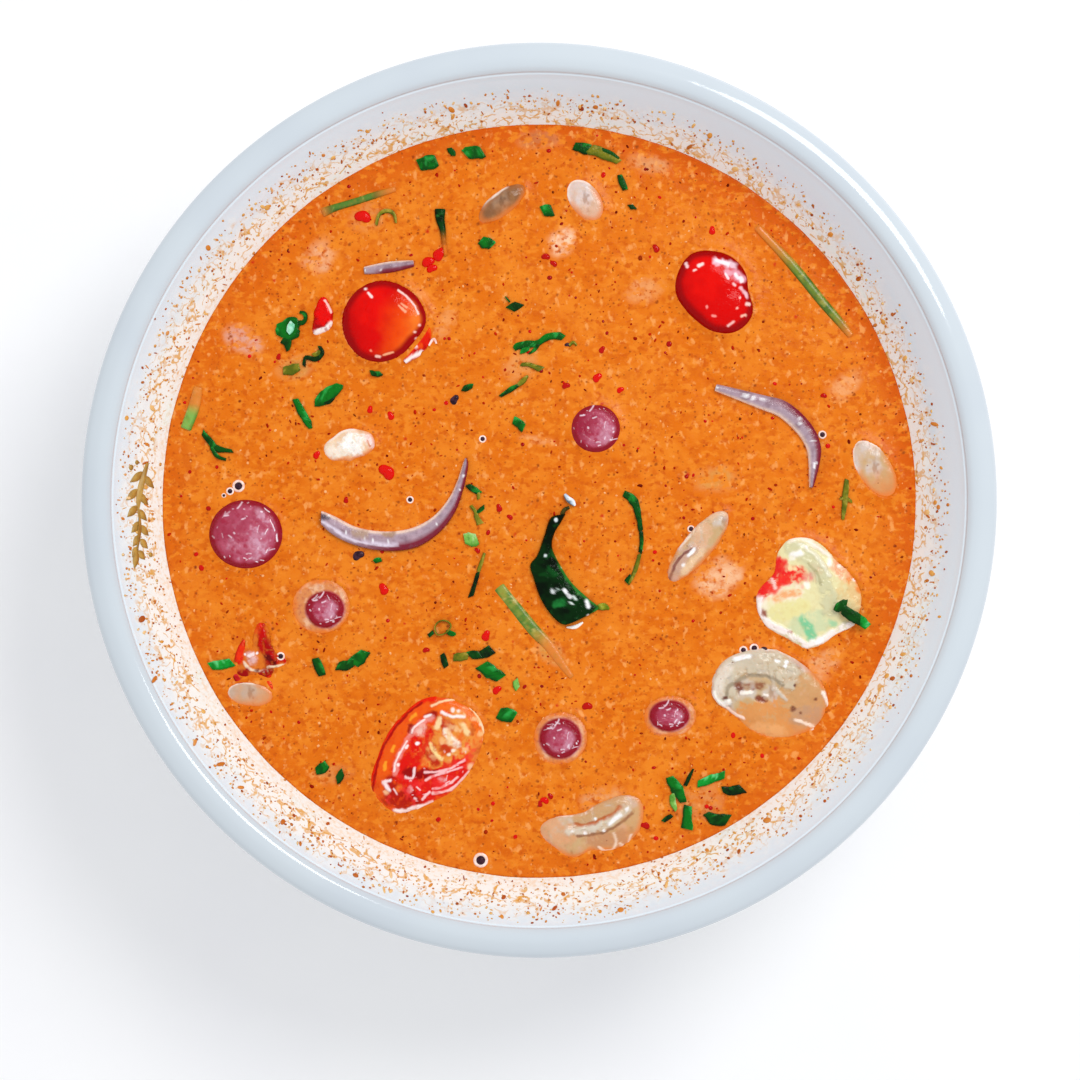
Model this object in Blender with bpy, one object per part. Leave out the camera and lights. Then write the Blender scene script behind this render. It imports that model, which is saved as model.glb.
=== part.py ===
"""Tom yum soup in a white porcelain bowl: the bowl, the soup and its larger toppings, each a closed solid.

Lengths are in millimetres and become metres where a mesh is made. Z = 0 is the table under the foot ring and
the Z axis is the bowl's own axis.
"""

import math
from dataclasses import dataclass

import bmesh
import bpy
from mathutils import Vector

MM = 0.001
GAP = 0.3

# The bowl.
RIM_RADIUS = 95.0
RIM_HEIGHT = 72.0
LIP_TOP_RADIUS = 91.8
LIP_INNER_RADIUS = 88.7
LIP_STEP = 0.9
WALL = 4.6
WALL_TOP = (88.2, 69.9)
WALL_PULLS = ((62.0, 9.0), (71.0, 43.0))
FLOOR_RADIUS = 30.0
FLOOR_HEIGHT = 9.0
UNDERSIDE_HEIGHT = 4.2
FOOT_OUTER_RADIUS = 45.0
FOOT_INNER_RADIUS = 40.0
FOOT_EASE = 0.9
FOOT_TOP_HEIGHT = 6.4
LIP_UNDER_HEIGHT = 66.0
TURNS = 56
WALL_STEPS = 7

# The soup.
SOUP_LEVEL = 57.0
POCKET_GAP = 0.4
POCKET_ABOVE = 4.0

BIG_SLICE_TURNS = 16
SMALL_SLICE_TURNS = 12
SMALL_SLICE_REACH = 7.0
STRIP_SIDES = 8


@dataclass(frozen=True)
class Finish:
    """A plain surface: its linear colour, roughness and metallic value."""

    name: str
    colour: tuple
    roughness: float
    metallic: float = 0.0


PORCELAIN = Finish("porcelain", (0.80, 0.83, 0.87), 0.12)
BROTH = Finish("coconut_broth", (0.80, 0.24, 0.03), 0.25)
TOMATO = Finish("tomato", (0.75, 0.02, 0.01), 0.2)
PALE_TOMATO = Finish("pale_tomato", (0.75, 0.68, 0.42), 0.3)
SHALLOT = Finish("shallot", (0.42, 0.07, 0.14), 0.25)
ONION = Finish("red_onion", (0.38, 0.20, 0.24), 0.25)
MUSHROOM = Finish("mushroom", (0.55, 0.44, 0.32), 0.3)
BROWN_MUSHROOM = Finish("brown_mushroom", (0.22, 0.12, 0.06), 0.3)
LEAF = Finish("lime_leaf", (0.01, 0.05, 0.01), 0.15)
STALK = Finish("green_stalk", (0.14, 0.18, 0.02), 0.35)
CHILLI = Finish("chilli", (0.60, 0.01, 0.01), 0.25)


def oval(half_length, half_width, count=12):
    """Reaches of an ellipse from its centre at even turns, starting along its length."""
    reaches = []
    for index in range(count):
        angle = math.tau * index / count
        across = math.hypot(half_width * math.cos(angle), half_length * math.sin(angle))
        reaches.append(half_length * half_width / across)
    return tuple(reaches)


@dataclass(frozen=True)
class Slice:
    """A chunk or slice lying flat in the soup, given by its reach from the centre at even turns from +X."""

    name: str
    finish: Finish
    centre: tuple
    reaches: tuple
    height: float
    depth: float
    turn: float = 0.0
    crown: float = 0.28
    keel: float = 0.35


@dataclass(frozen=True)
class Strip:
    """A long piece of elliptical section that follows a route and stands partly out of the soup."""

    name: str
    finish: Finish
    route: tuple
    widths: tuple
    thickness: float
    lift: float
    steps: int = 8


SLICES = (
    Slice(
        "tomato_round", TOMATO, (-33.2, 38.1),
        (9.6, 9.3, 8.9, 8.9, 8.8, 8.8, 8.9, 9.0, 9.2, 8.9, 8.4, 8.3),
        height=2.4, depth=8.0,
    ),
    Slice(
        "tomato_bean", TOMATO, (37.0, 44.3),
        (7.6, 8.0, 8.5, 8.9, 9.6, 8.9, 8.3, 7.3, 7.3, 8.6, 9.9, 9.7),
        height=3.0, depth=8.0,
    ),
    Slice(
        "tomato_wedge", TOMATO, (-23.7, -54.2),
        (10.9, 13.7, 13.6, 11.9, 9.9, 9.7, 10.6, 13.6, 13.8, 10.2, 9.3, 9.2),
        height=1.6, depth=7.0, crown=0.12,
    ),
    Slice(
        "tomato_pale", PALE_TOMATO, (57.7, -19.8),
        (11.2, 9.8, 9.6, 11.8, 12.0, 9.2, 11.6, 11.8, 10.9, 11.6, 10.0, 11.4),
        height=1.4, depth=4.0, crown=0.12,
    ),
    Slice("shallot_left", SHALLOT, (-62.2, -7.0), oval(7.9, 7.4), height=1.8, depth=5.0, crown=0.16),
    Slice("shallot_ringed", SHALLOT, (-46.2, -22.3), oval(6.6, 6.2), height=1.3, depth=5.0, crown=0.4),
    Slice("shallot_centre", SHALLOT, (12.0, 15.4), oval(5.4, 5.2), height=1.3, depth=5.0),
    Slice("shallot_low", SHALLOT, (4.5, -50.3), oval(6.2, 6.0), height=1.2, depth=5.0, crown=0.4),
    Slice("shallot_right", SHALLOT, (27.8, -45.6), oval(6.1, 4.7), height=1.2, depth=5.0, crown=0.4),
    Slice(
        "mushroom_big", MUSHROOM, (49.2, -40.8),
        (12.0, 9.8, 9.1, 9.6, 10.5, 12.4, 12.6, 9.2, 9.0, 9.6, 10.8, 12.4),
        height=1.6, depth=4.5, crown=0.16,
    ),
    Slice(
        "mushroom_low", MUSHROOM, (10.7, -69.2),
        (11.3, 12.4, 6.6, 4.0, 3.6, 5.2, 10.8, 8.8, 7.6, 5.2, 6.0, 8.4),
        height=1.1, depth=2.6, crown=0.16,
    ),
    Slice("mushroom_fold", MUSHROOM, (33.7, -9.6), oval(9.4, 3.2), height=1.3, depth=2.5, turn=50.0),
    Slice("mushroom_oval", MUSHROOM, (9.8, 63.8), oval(5.2, 3.3), height=1.5, depth=3.0, turn=-53.0),
    Slice(
        "mushroom_brown", BROWN_MUSHROOM, (-7.9, 63.1), oval(6.1, 2.6),
        height=1.3, depth=2.6, turn=37.0,
    ),
    Slice("mushroom_clear", MUSHROOM, (71.2, 6.8), oval(7.2, 3.8), height=0.9, depth=2.2, turn=-58.0),
    Slice("mushroom_grey", MUSHROOM, (-61.2, -41.0), oval(5.2, 2.8), height=1.1, depth=2.0, turn=-8.0),
    Slice(
        "mushroom_white", MUSHROOM, (-40.0, 11.4),
        (5.4, 5.0, 3.6, 3.3, 3.4, 4.4, 5.6, 5.0, 3.4, 3.2, 3.4, 4.4),
        height=1.5, depth=2.6, turn=14.0,
    ),
    Slice(
        "chilli_skin", CHILLI, (-59.0, -34.0),
        (5.7, 4.0, 4.6, 8.6, 3.9, 5.2, 5.0, 5.6, 3.6, 3.0, 4.0, 3.4),
        height=1.2, depth=1.6, crown=0.2,
    ),
    Slice(
        "chilli_cut", CHILLI, (-45.8, 38.8),
        (2.2, 2.6, 3.0, 4.7, 3.0, 2.4, 2.0, 2.6, 4.0, 3.2, 2.8, 2.4),
        height=1.3, depth=2.0,
    ),
)

STRIPS = (
    Strip(
        "onion_long", ONION,
        ((-46.4, -3.3), (-40.6, -6.3), (-34.4, -7.9), (-29.1, -7.9), (-23.8, -5.8), (-19.0, -1.5), (-15.5, 6.6)),
        (2.8, 4.2, 4.6, 4.2, 3.8, 2.6, 1.0), thickness=2.6, lift=0.1, steps=13,
    ),
    Strip(
        "onion_right", ONION,
        ((37.4, 24.1), (46.9, 21.1), (51.8, 19.4), (56.0, 15.6), (58.1, 11.8), (58.3, 8.0), (57.7, 2.9)),
        (1.5, 3.0, 3.6, 3.6, 3.2, 2.4, 0.9), thickness=2.4, lift=0.1, steps=13,
    ),
    Strip(
        "onion_sliver", ONION, ((-37.1, 48.9), (-31.8, 49.6), (-26.6, 50.4)),
        (1.6, 2.4, 1.4), thickness=1.8, lift=0.1, steps=5,
    ),
    Strip(
        "lime_leaf", LEAF,
        ((6.6, 0.0), (4.1, -3.7), (1.6, -9.5), (1.8, -14.1), (4.8, -19.8), (9.6, -23.2)),
        (1.2, 2.6, 2.6, 6.0, 9.0, 4.0), thickness=2.4, lift=0.2, steps=12,
    ),
    Strip(
        "stalk_right", STALK,
        ((46.2, 58.2), (51.9, 52.1), (55.8, 47.6), (59.9, 42.5), (63.8, 38.0), (66.2, 35.1)),
        (1.8, 2.0, 2.2, 2.1, 1.9, 1.6), thickness=1.8, lift=-0.5, steps=7,
    ),
    Strip(
        "stalk_left", STALK,
        ((-46.0, 61.2), (-43.2, 62.3), (-38.6, 63.7), (-34.6, 65.0), (-30.5, 66.2)),
        (2.2, 1.6, 1.5, 1.5, 1.2), thickness=1.6, lift=-0.4, steps=6,
    ),
    Strip(
        "stalk_pale", STALK,
        ((-8.6, -18.1), (-5.2, -22.4), (-1.1, -27.4), (2.0, -30.6), (5.1, -34.9), (7.0, -37.4)),
        (3.0, 3.0, 3.0, 2.8, 2.2, 1.4), thickness=2.2, lift=-0.7, steps=7,
    ),
    Strip(
        "stalk_dark_end", LEAF, ((-21.0, 62.0), (-21.0, 59.9), (-20.5, 57.7), (-20.1, 54.5), (-19.8, 52.0)),
        (2.4, 2.0, 1.4, 1.0, 0.8), thickness=1.6, lift=-0.1, steps=6,
    ),
    Strip(
        "stalk_edge", STALK, ((-75.0, 15.3), (-73.2, 20.1), (-72.3, 24.2)),
        (2.4, 2.5, 2.0), thickness=1.8, lift=-0.3, steps=4,
    ),
)


def clear_scene():
    for scene_object in list(bpy.data.objects):
        bpy.data.objects.remove(scene_object)


def material_of(finish):
    """The finish as a Principled material, made once."""
    found = bpy.data.materials.get(finish.name)
    if found:
        return found
    made = bpy.data.materials.new(finish.name)
    made.use_nodes = True
    shader = made.node_tree.nodes["Principled BSDF"]
    shader.inputs["Base Color"].default_value = (*finish.colour, 1.0)
    shader.inputs["Roughness"].default_value = finish.roughness
    shader.inputs["Metallic"].default_value = finish.metallic
    made.diffuse_color = (*finish.colour, 1.0)
    return made


def bezier(ends, pulls, count):
    """Points (r, z) of a cubic from ends[0] to ends[1], the ends included."""
    points = []
    for index in range(count + 1):
        t = index / count
        weights = ((1 - t) ** 3, 3 * (1 - t) ** 2 * t, 3 * (1 - t) * t**2, t**3)
        corners = (ends[0], *pulls, ends[1])
        points.append(tuple(sum(w * c[axis] for w, c in zip(weights, corners)) for axis in (0, 1)))
    return points


def moved_out(points, distance):
    """The open profile moved sideways: outwards and down for a positive distance."""
    moved = []
    for index, point in enumerate(points):
        before = points[max(index - 1, 0)]
        after = points[min(index + 1, len(points) - 1)]
        along = Vector((after[0] - before[0], after[1] - before[1])).normalized()
        moved.append((point[0] + along.y * distance, point[1] - along.x * distance))
    return moved


def inner_wall():
    """The bowl's inside, from the edge of its floor up to the step under the lip."""
    return bezier(((FLOOR_RADIUS, FLOOR_HEIGHT), WALL_TOP), WALL_PULLS, WALL_STEPS)


def bowl_profile():
    """The bowl's section (r, z), counter-clockwise from the axis at the underside."""
    wall = inner_wall()
    clear_of_foot = FOOT_OUTER_RADIUS + 2.5
    clear_of_lip = LIP_UNDER_HEIGHT - 3.0
    outside = [p for p in moved_out(wall, WALL) if p[0] > clear_of_foot and p[1] < clear_of_lip]
    foot = [
        (0.0, UNDERSIDE_HEIGHT),
        (FOOT_INNER_RADIUS - FOOT_EASE, UNDERSIDE_HEIGHT),
        (FOOT_INNER_RADIUS, UNDERSIDE_HEIGHT - FOOT_EASE),
        (FOOT_INNER_RADIUS + 1.3, 0.0),
        (FOOT_OUTER_RADIUS - FOOT_EASE, 0.0),
        (FOOT_OUTER_RADIUS, FOOT_EASE),
        (FOOT_OUTER_RADIUS + 0.6, FOOT_TOP_HEIGHT),
    ]
    lip = [
        (RIM_RADIUS - 3.4, LIP_UNDER_HEIGHT),
        (RIM_RADIUS - 0.9, RIM_HEIGHT - 4.3),
        (RIM_RADIUS, RIM_HEIGHT - 2.7),
        (RIM_RADIUS - 0.7, RIM_HEIGHT - 0.9),
        (LIP_TOP_RADIUS, RIM_HEIGHT),
        (LIP_INNER_RADIUS + 1.0, RIM_HEIGHT - 0.35),
        (LIP_INNER_RADIUS, WALL_TOP[1] + LIP_STEP),
    ]
    return foot + outside + lip + wall[::-1] + [(0.0, FLOOR_HEIGHT)]


def soup_profile():
    """The soup's section: the inside of the bowl less a gap, cut off level."""
    wall = moved_out(inner_wall(), -GAP)
    below = [p for p in wall if p[1] < SOUP_LEVEL]
    under, over = below[-1], wall[len(below)]
    share = (SOUP_LEVEL - under[1]) / (over[1] - under[1])
    edge = (under[0] + share * (over[0] - under[0]), SOUP_LEVEL)
    return [(0.0, FLOOR_HEIGHT + GAP), *below, edge, (0.0, SOUP_LEVEL)]


def lathe(name, profile, finish):
    """A solid of revolution from a section that starts and ends on the axis."""
    mesh = bpy.data.meshes.new(name)
    shape = bmesh.new()
    rings = []
    for radius, height in profile[1:-1]:
        ring = []
        for turn in range(TURNS):
            angle = math.tau * turn / TURNS
            place = Vector((radius * math.cos(angle), radius * math.sin(angle), height))
            ring.append(shape.verts.new(place * MM))
        rings.append(ring)
    bridge(shape, rings)
    shape.faces.new(rings[0][::-1])
    shape.faces.new(rings[-1])
    return finished(shape, mesh, name, finish)


def bridge(shape, rings):
    """Quads between each ring of vertices and the next."""
    for lower, upper in zip(rings, rings[1:]):
        count = len(lower)
        for index in range(count):
            after = (index + 1) % count
            shape.faces.new((lower[index], lower[after], upper[after], upper[index]))


def finished(shape, mesh, name, finish):
    """The object of a closed shape, its faces turned outwards."""
    bmesh.ops.recalc_face_normals(shape, faces=shape.faces)
    shape.to_mesh(mesh)
    shape.free()
    mesh.shade_smooth()
    mesh.set_sharp_from_angle(angle=math.radians(40))
    mesh.materials.append(material_of(finish))
    made = bpy.data.objects.new(name, mesh)
    bpy.context.scene.collection.objects.link(made)
    return made


def smooth_value(values, place, closed):
    """A value between the listed ones at a place counted in steps, on a smooth curve through them."""
    count = len(values)
    start = math.floor(place)
    share = place - start
    picks = []
    for offset in (-1, 0, 1, 2):
        index = start + offset
        picks.append(values[index % count] if closed else values[min(max(index, 0), count - 1)])
    before, first, second, after = picks
    bend = 2 * before - 5 * first + 4 * second - after
    twist = 3 * (first - second) + after - before
    return first + 0.5 * share * (second - before + share * (bend + share * twist))


def outline(piece, inset, grow):
    """The slice's closed outline, drawn in by a share of its reach and grown by a length."""
    count = BIG_SLICE_TURNS if max(piece.reaches) > SMALL_SLICE_REACH else SMALL_SLICE_TURNS
    points = []
    for index in range(count):
        share = index / count
        reach = smooth_value(piece.reaches, share * len(piece.reaches), closed=True)
        reach = reach * (1 - inset) + grow
        angle = math.tau * share + math.radians(piece.turn)
        x = piece.centre[0] + reach * math.cos(angle)
        y = piece.centre[1] + reach * math.sin(angle)
        points.append((x, y))
    return points


def slice_solid(name, piece, layers):
    """A stack of outlines, each (height above the soup level, inset, growth), closed at both ends."""
    mesh = bpy.data.meshes.new(name)
    shape = bmesh.new()
    rings = []
    for height, inset, grow in layers:
        ring = [Vector((x, y, SOUP_LEVEL + height)) * MM for x, y in outline(piece, inset, grow)]
        rings.append([shape.verts.new(point) for point in ring])
    bridge(shape, rings)
    shape.faces.new(rings[0][::-1])
    shape.faces.new(rings[-1])
    return finished(shape, mesh, name, piece.finish)


def slice_body(piece):
    shoulder = 0.55 * piece.height
    return slice_solid(piece.name, piece, (
        (-piece.depth, piece.keel, 0.0),
        (0.0, 0.0, 0.0),
        (shoulder, 0.3 * piece.crown, 0.0),
        (piece.height, piece.crown, 0.0),
    ))


def slice_pocket(piece):
    return slice_solid(f"{piece.name}_pocket", piece, (
        (-piece.depth - POCKET_GAP, piece.keel, POCKET_GAP),
        (-POCKET_GAP, 0.0, POCKET_GAP),
        (POCKET_ABOVE, 0.0, POCKET_GAP),
    ))


def strip_solid(name, piece, grow):
    """The strip's ellipse swept along its route, grown all round by a length."""
    mesh = bpy.data.meshes.new(name)
    shape = bmesh.new()
    last = len(piece.route) - 1
    middles = []
    widths = []
    for step in range(piece.steps + 1):
        place = last * step / piece.steps
        middles.append(Vector([smooth_value([p[axis] for p in piece.route], place, False) for axis in (0, 1)]))
        widths.append(smooth_value(piece.widths, place, False))
    rings = []
    for step, middle in enumerate(middles):
        along = (middles[min(step + 1, piece.steps)] - middles[max(step - 1, 0)]).normalized()
        across = Vector((-along.y, along.x))
        if step == 0:
            middle = middle - along * grow
        if step == piece.steps:
            middle = middle + along * grow
        rings.append(section(shape, middle, across, widths[step] / 2 + grow, piece, grow))
    bridge(shape, rings)
    shape.faces.new(rings[0][::-1])
    shape.faces.new(rings[-1])
    return finished(shape, mesh, name, piece.finish)


def section(shape, middle, across, half_width, piece, grow):
    """One elliptical section of a strip, standing upright across its route."""
    half_height = piece.thickness / 2 + grow
    ring = []
    for side in range(STRIP_SIDES):
        angle = math.tau * (side + 0.5) / STRIP_SIDES
        flat = middle + across * half_width * math.cos(angle)
        height = SOUP_LEVEL + piece.lift + half_height * math.sin(angle)
        ring.append(shape.verts.new(Vector((flat.x, flat.y, height)) * MM))
    return ring


def cut(body, cutter):
    cutter.hide_render = True
    cutter.display_type = "WIRE"
    difference = body.modifiers.new(cutter.name, "BOOLEAN")
    difference.operation = "DIFFERENCE"
    difference.solver = "EXACT"
    difference.object = cutter


def main():
    clear_scene()
    lathe("bowl", bowl_profile(), PORCELAIN)
    soup = lathe("soup", soup_profile(), BROTH)
    for piece in SLICES:
        slice_body(piece)
        cut(soup, slice_pocket(piece))
    for piece in STRIPS:
        strip_solid(piece.name, piece, 0.0)
        cut(soup, strip_solid(f"{piece.name}_pocket", piece, POCKET_GAP))


main()
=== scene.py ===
"""Looks of a bowl of tom yum soup: glazed porcelain, coconut broth, vegetables, herbs and spice.

Lengths are in millimetres and become metres where a mesh is made. Z = 0 is the table under the foot ring and
the Z axis is the bowl's own axis. Angles are in degrees, counter-clockwise from +X.
"""

import logging
import math
from collections.abc import Sequence
from dataclasses import dataclass
from enum import Enum

import bmesh
import bpy
import numpy as np
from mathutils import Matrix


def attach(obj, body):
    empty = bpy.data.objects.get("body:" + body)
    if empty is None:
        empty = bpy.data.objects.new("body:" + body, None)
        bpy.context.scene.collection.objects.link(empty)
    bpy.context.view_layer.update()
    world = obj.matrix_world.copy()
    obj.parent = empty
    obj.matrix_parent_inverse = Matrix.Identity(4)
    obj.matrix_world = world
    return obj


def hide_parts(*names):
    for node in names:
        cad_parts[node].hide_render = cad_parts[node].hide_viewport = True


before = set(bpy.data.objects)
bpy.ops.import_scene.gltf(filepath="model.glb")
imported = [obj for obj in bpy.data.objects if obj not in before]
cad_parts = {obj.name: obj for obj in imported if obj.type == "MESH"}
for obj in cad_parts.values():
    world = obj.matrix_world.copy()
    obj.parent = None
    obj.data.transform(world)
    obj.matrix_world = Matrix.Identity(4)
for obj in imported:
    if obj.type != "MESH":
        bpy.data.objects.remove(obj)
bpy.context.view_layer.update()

MM = 0.001
LEVEL = 57.0
BROTH_HEX = "#E87820"
LOG = logging.getLogger("soup")
Array = np.ndarray
Socket = bpy.types.NodeSocket
Tree = bpy.types.NodeTree
Piece = bpy.types.Object
Faces = list[tuple[int, ...]]
Route = tuple[tuple[float, ...], ...]


# Colours and shading nodes.


def linear(code: str) -> tuple[float, float, float]:
    """Turn an sRGB hex colour to linear light.

    Args:
        code: The colour as #RRGGBB.

    Returns:
        Its linear red, green and blue.
    """
    shares = [int(code[place : place + 2], 16) / 255 for place in (1, 3, 5)]
    return tuple(s / 12.92 if s <= 0.04045 else ((s + 0.055) / 1.055) ** 2.4 for s in shares)


def rgba(code: str) -> tuple[float, float, float, float]:
    """The linear colour of a hex code, opaque."""
    return (*linear(code), 1.0)


def add_node(tree: Tree, kind: str, parts: dict | None = None) -> bpy.types.Node:
    """Add a node with its settings and links.

    Args:
        tree: The node tree that takes it.
        kind: The node's type name.
        parts: What it is given: a property by its name in small letters, or an input by its name or number.
            An input takes a value, or the socket that feeds it.

    Returns:
        The new node.
    """
    node = tree.nodes.new(kind)
    for key, value in (parts or {}).items():
        if isinstance(value, Socket):
            tree.links.new(value, node.inputs[key])
        elif isinstance(key, str) and key.islower():
            setattr(node, key, value)
        else:
            node.inputs[key].default_value = value
    return node


class Nodes:
    """A node tree that is being built."""

    def __init__(self, tree: Tree) -> None:
        """Start with the tree."""
        self.tree = tree

    def add(self, kind: str, parts: dict | None = None, output: str | int = 0) -> Socket:
        """Add a node and give one of its outputs."""
        return add_node(self.tree, kind, parts).outputs[output]

    def combined(self, operation: str, *values: object) -> Socket:
        """Values or sockets combined in turn by one operation, such as MULTIPLY or ADD."""
        total = values[0]
        for value in values[1:]:
            total = self.add("ShaderNodeMath", {"operation": operation, 0: total, 1: value})
        return total


class Shade(Nodes):
    """A material's nodes, with the masks and coats that the finishes share."""

    def __init__(self, tree: Tree) -> None:
        """Start from the object's own coordinates."""
        super().__init__(tree)
        self.place = self.add("ShaderNodeTexCoord", output="Object")

    def mark(self, name: str, output: str = "Fac") -> Socket:
        """What the mesh says at each point under a name."""
        return self.add("ShaderNodeAttribute", {"attribute_name": name}, output)

    def product(self, *values: object) -> Socket:
        """Masks and shares multiplied together."""
        return self.combined("MULTIPLY", *values)

    def mask(self, value: Socket, low: float, high: float, top: float = 1.0) -> Socket:
        """Turn a value to a smooth mask.

        Args:
            value: The value to read.
            low: Where the mask is 0.
            high: Where it is full.
            top: What full is.

        Returns:
            The mask's socket.
        """
        parts = {"interpolation_type": "SMOOTHSTEP", "From Min": low, "From Max": high, "To Max": top}
        return self.add("ShaderNodeMapRange", {**parts, "Value": value}, "Result")

    def coat(self, under: object, over: object, amount: object) -> Socket:
        """Lay one colour over another.

        Args:
            under: A hex code or a colour socket.
            over: A hex code or a colour socket.
            amount: A share or a mask socket.

        Returns:
            The colour's socket.
        """
        under, over = (rgba(c) if isinstance(c, str) else c for c in (under, over))
        return self.add("ShaderNodeMix", {"data_type": "RGBA", 0: amount, 6: under, 7: over}, 2)

    def clouds(
        self, size: float, detail: float = 2.0, stretch: tuple = (1, 1, 1), shift: float = 0.0
    ) -> Socket:
        """Smooth noise.

        Args:
            size: The millimetres that its features are across.
            detail: How many finer layers it has.
            stretch: How much closer it lies along X, Y and Z.
            shift: Metres that tell one layer of noise from another.

        Returns:
            The noise's socket.
        """
        place = self.place
        if stretch != (1, 1, 1) or shift:
            parts = {"Scale": stretch, "Location": (shift, shift, shift), "Vector": place}
            place = self.add("ShaderNodeMapping", parts)
        return self.add("ShaderNodeTexNoise", {"Scale": 1 / (size * MM), "Detail": detail, "Vector": place})

    def specks(self, spacing: float, radius: float, soft: float, share: float, shift: float = 0.0) -> Socket:
        """A mask of scattered specks of uneven size.

        Args:
            spacing: The millimetres between neighbours.
            radius: The largest speck's radius in millimetres.
            soft: How much of the radius is a soft edge.
            share: How many of the places hold a speck.
            shift: Metres that tell one layer of specks from another.

        Returns:
            The mask's socket.
        """
        bent = self.clouds(radius * 1.2, 1.0, shift=shift + 0.3)
        push = self.add("ShaderNodeVectorMath", {"operation": "SCALE", "Scale": radius * MM, 0: bent})
        place = self.add("ShaderNodeVectorMath", {0: self.place, 1: (shift, shift, 0.0)})
        place = self.add("ShaderNodeVectorMath", {0: place, 1: push})
        parts = {"Scale": 1 / (spacing * MM), "Vector": place}
        cells = add_node(self.tree, "ShaderNodeTexVoronoi", parts).outputs
        chance = self.add("ShaderNodeSeparateColor", {0: cells["Color"]})
        reach = self.product(self.mask(chance, 1 - share, 1.0), radius / spacing)
        inner = self.product(reach, 1 - soft)
        parts = {"To Max": 1.0, "Value": cells["Distance"], "From Min": reach, "From Max": inner}
        return self.add("ShaderNodeMapRange", parts, "Result")


@dataclass(frozen=True)
class Look:
    """What varies over a finish: its colour, its relief and the relief's depth, and maybe its roughness."""

    colour: Socket
    relief: Socket
    depth: float
    roughness: Socket | None = None


@dataclass(frozen=True)
class Finish:
    """A surface's common numbers. Each kind of finish adds its own colour and relief."""

    name: str
    roughness: float = 0.2
    ior: float = 1.4
    gloss: float = 0.5
    under_light: float = 0.0
    under_depth: float = 1.0

    def material(self) -> bpy.types.Material:
        """The material, made the first time it is asked for.

        Returns:
            The Blender material.
        """
        known = bpy.data.materials.get(self.name)
        if known:
            return known
        made = bpy.data.materials.new(self.name)
        made.use_nodes = True
        shade = Shade(made.node_tree)
        skin = next(n for n in made.node_tree.nodes if n.type == "BSDF_PRINCIPLED")
        for socket, value in (
            ("Roughness", self.roughness),
            ("IOR", self.ior),
            ("Specular IOR Level", self.gloss),
            ("Subsurface Weight", self.under_light),
            ("Subsurface Scale", self.under_depth * MM),
            ("Subsurface Radius", (1.0, 0.5, 0.3)),
        ):
            skin.inputs[socket].default_value = value
        look = self.look(shade)
        relief = shade.add("ShaderNodeBump", {"Distance": look.depth * MM, "Height": look.relief})
        sources = {"Base Color": look.colour, "Normal": relief, "Roughness": look.roughness}
        for socket, source in sources.items():
            if source:
                made.node_tree.links.new(source, skin.inputs[socket])
        return made

    def look(self, shade: Shade) -> Look:
        """The colour and relief over the surface."""
        raise NotImplementedError


@dataclass(frozen=True)
class Porcelain(Finish):
    """Hard white tableware, dipped in a clear glaze that pools a little: cool white with soft highlights.

    Thin broth has run down the inner wall above the soup, and the foot ring is left unglazed. The outer wall
    and the inside are painted lighter than the lip, most just above the soup: painted light that offsets
    their shade.
    """

    glaze: str = "#CAD3D9"
    shaded: str = "#C3CCD4"
    # painted light: outer, inner and wet are lighter than the glaze, to offset the shade on the lower outer
    # wall, inside the bowl and just above the soup
    outer: str = "#E3E7E9"
    inner: str = "#DEEBF3"
    bare: str = "#DAD3C6"
    wet: str = "#FAFCF6"
    run: str = "#E2A222"
    pool: str = "#F2C890"
    lean: float = 0.022
    ragged: float = 9.0

    def look(self, shade: Shade) -> Look:
        """Glaze colour with thin runs of broth inside, painted light on the outer wall and the inside, most
        just above the soup, and a faint waviness.
        """

        def above(height: Socket, low: float, high: float, top: float = 1.0) -> Socket:
            """A mask that grows from one height above the soup to another."""
            return shade.mask(height, (LEVEL + low) * MM, (LEVEL + high) * MM, top)

        where = add_node(shade.tree, "ShaderNodeSeparateXYZ", {0: shade.place}).outputs
        colour = shade.coat(self.glaze, self.shaded, shade.mask(shade.clouds(30, 3), 0.35, 0.7, 0.6))
        slope = shade.combined("ADD", *(shade.product(where[axis], -self.lean) for axis in (0, 1)))
        wobble = shade.combined("SUBTRACT", shade.clouds(2.2, 4), 0.5)
        height = shade.combined("SUBTRACT", where[2], slope)
        height = shade.combined("ADD", height, shade.product(wobble, self.ragged * MM))
        # painted light: the lower outer wall is lightened against its shade
        colour = shade.coat(colour, self.outer, above(where[2], 11.0, 3.0))
        inside = shade.mark("inside")
        # painted light: the inside is lightened against the bowl's own shade
        colour = shade.coat(colour, self.inner, inside)
        # painted light: the inside is lightened most just above the soup; the same mask bounds the runs of
        # broth below
        wet = shade.product(above(height, 12.0, 3.0, 0.9), inside)
        colour = shade.coat(colour, self.wet, wet)
        band = shade.product(above(height, 10.5, 8.0), wet, above(height, 0.6, 2.4))
        for size, shift, thin, dim in ((3.6, 0.2, 0.046, 0.9), (2.4, 0.7, 0.044, 0.8)):
            ridge = shade.combined("SUBTRACT", shade.clouds(size, 1.5, shift=shift), 0.5)
            ridge = shade.combined("ABSOLUTE", ridge, 0.0)
            broken = shade.mask(shade.clouds(2.4, 2, shift=shift + 0.4), 0.45, 0.52)
            lines = shade.product(shade.mask(ridge, thin, thin * 0.3, dim), band, broken)
            colour = shade.coat(colour, self.run, lines)
        patchy = shade.mask(shade.clouds(0.9, 3, shift=0.8), 0.4, 0.7)
        colour = shade.coat(colour, self.pool, shade.product(above(height, 1.6, 0.3, 0.5), inside, patchy))
        foot = shade.mask(where[2], 0.7 * MM, 0.3 * MM)
        colour = shade.coat(colour, self.bare, foot)
        grain = shade.product(shade.clouds(0.25, 2), foot)
        wave = shade.combined("ADD", shade.product(shade.clouds(7, 1), 0.6), grain)
        dull = shade.combined("ADD", shade.product(foot, 0.55), self.roughness)
        return Look(colour, wave, 0.12, dull)


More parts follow.
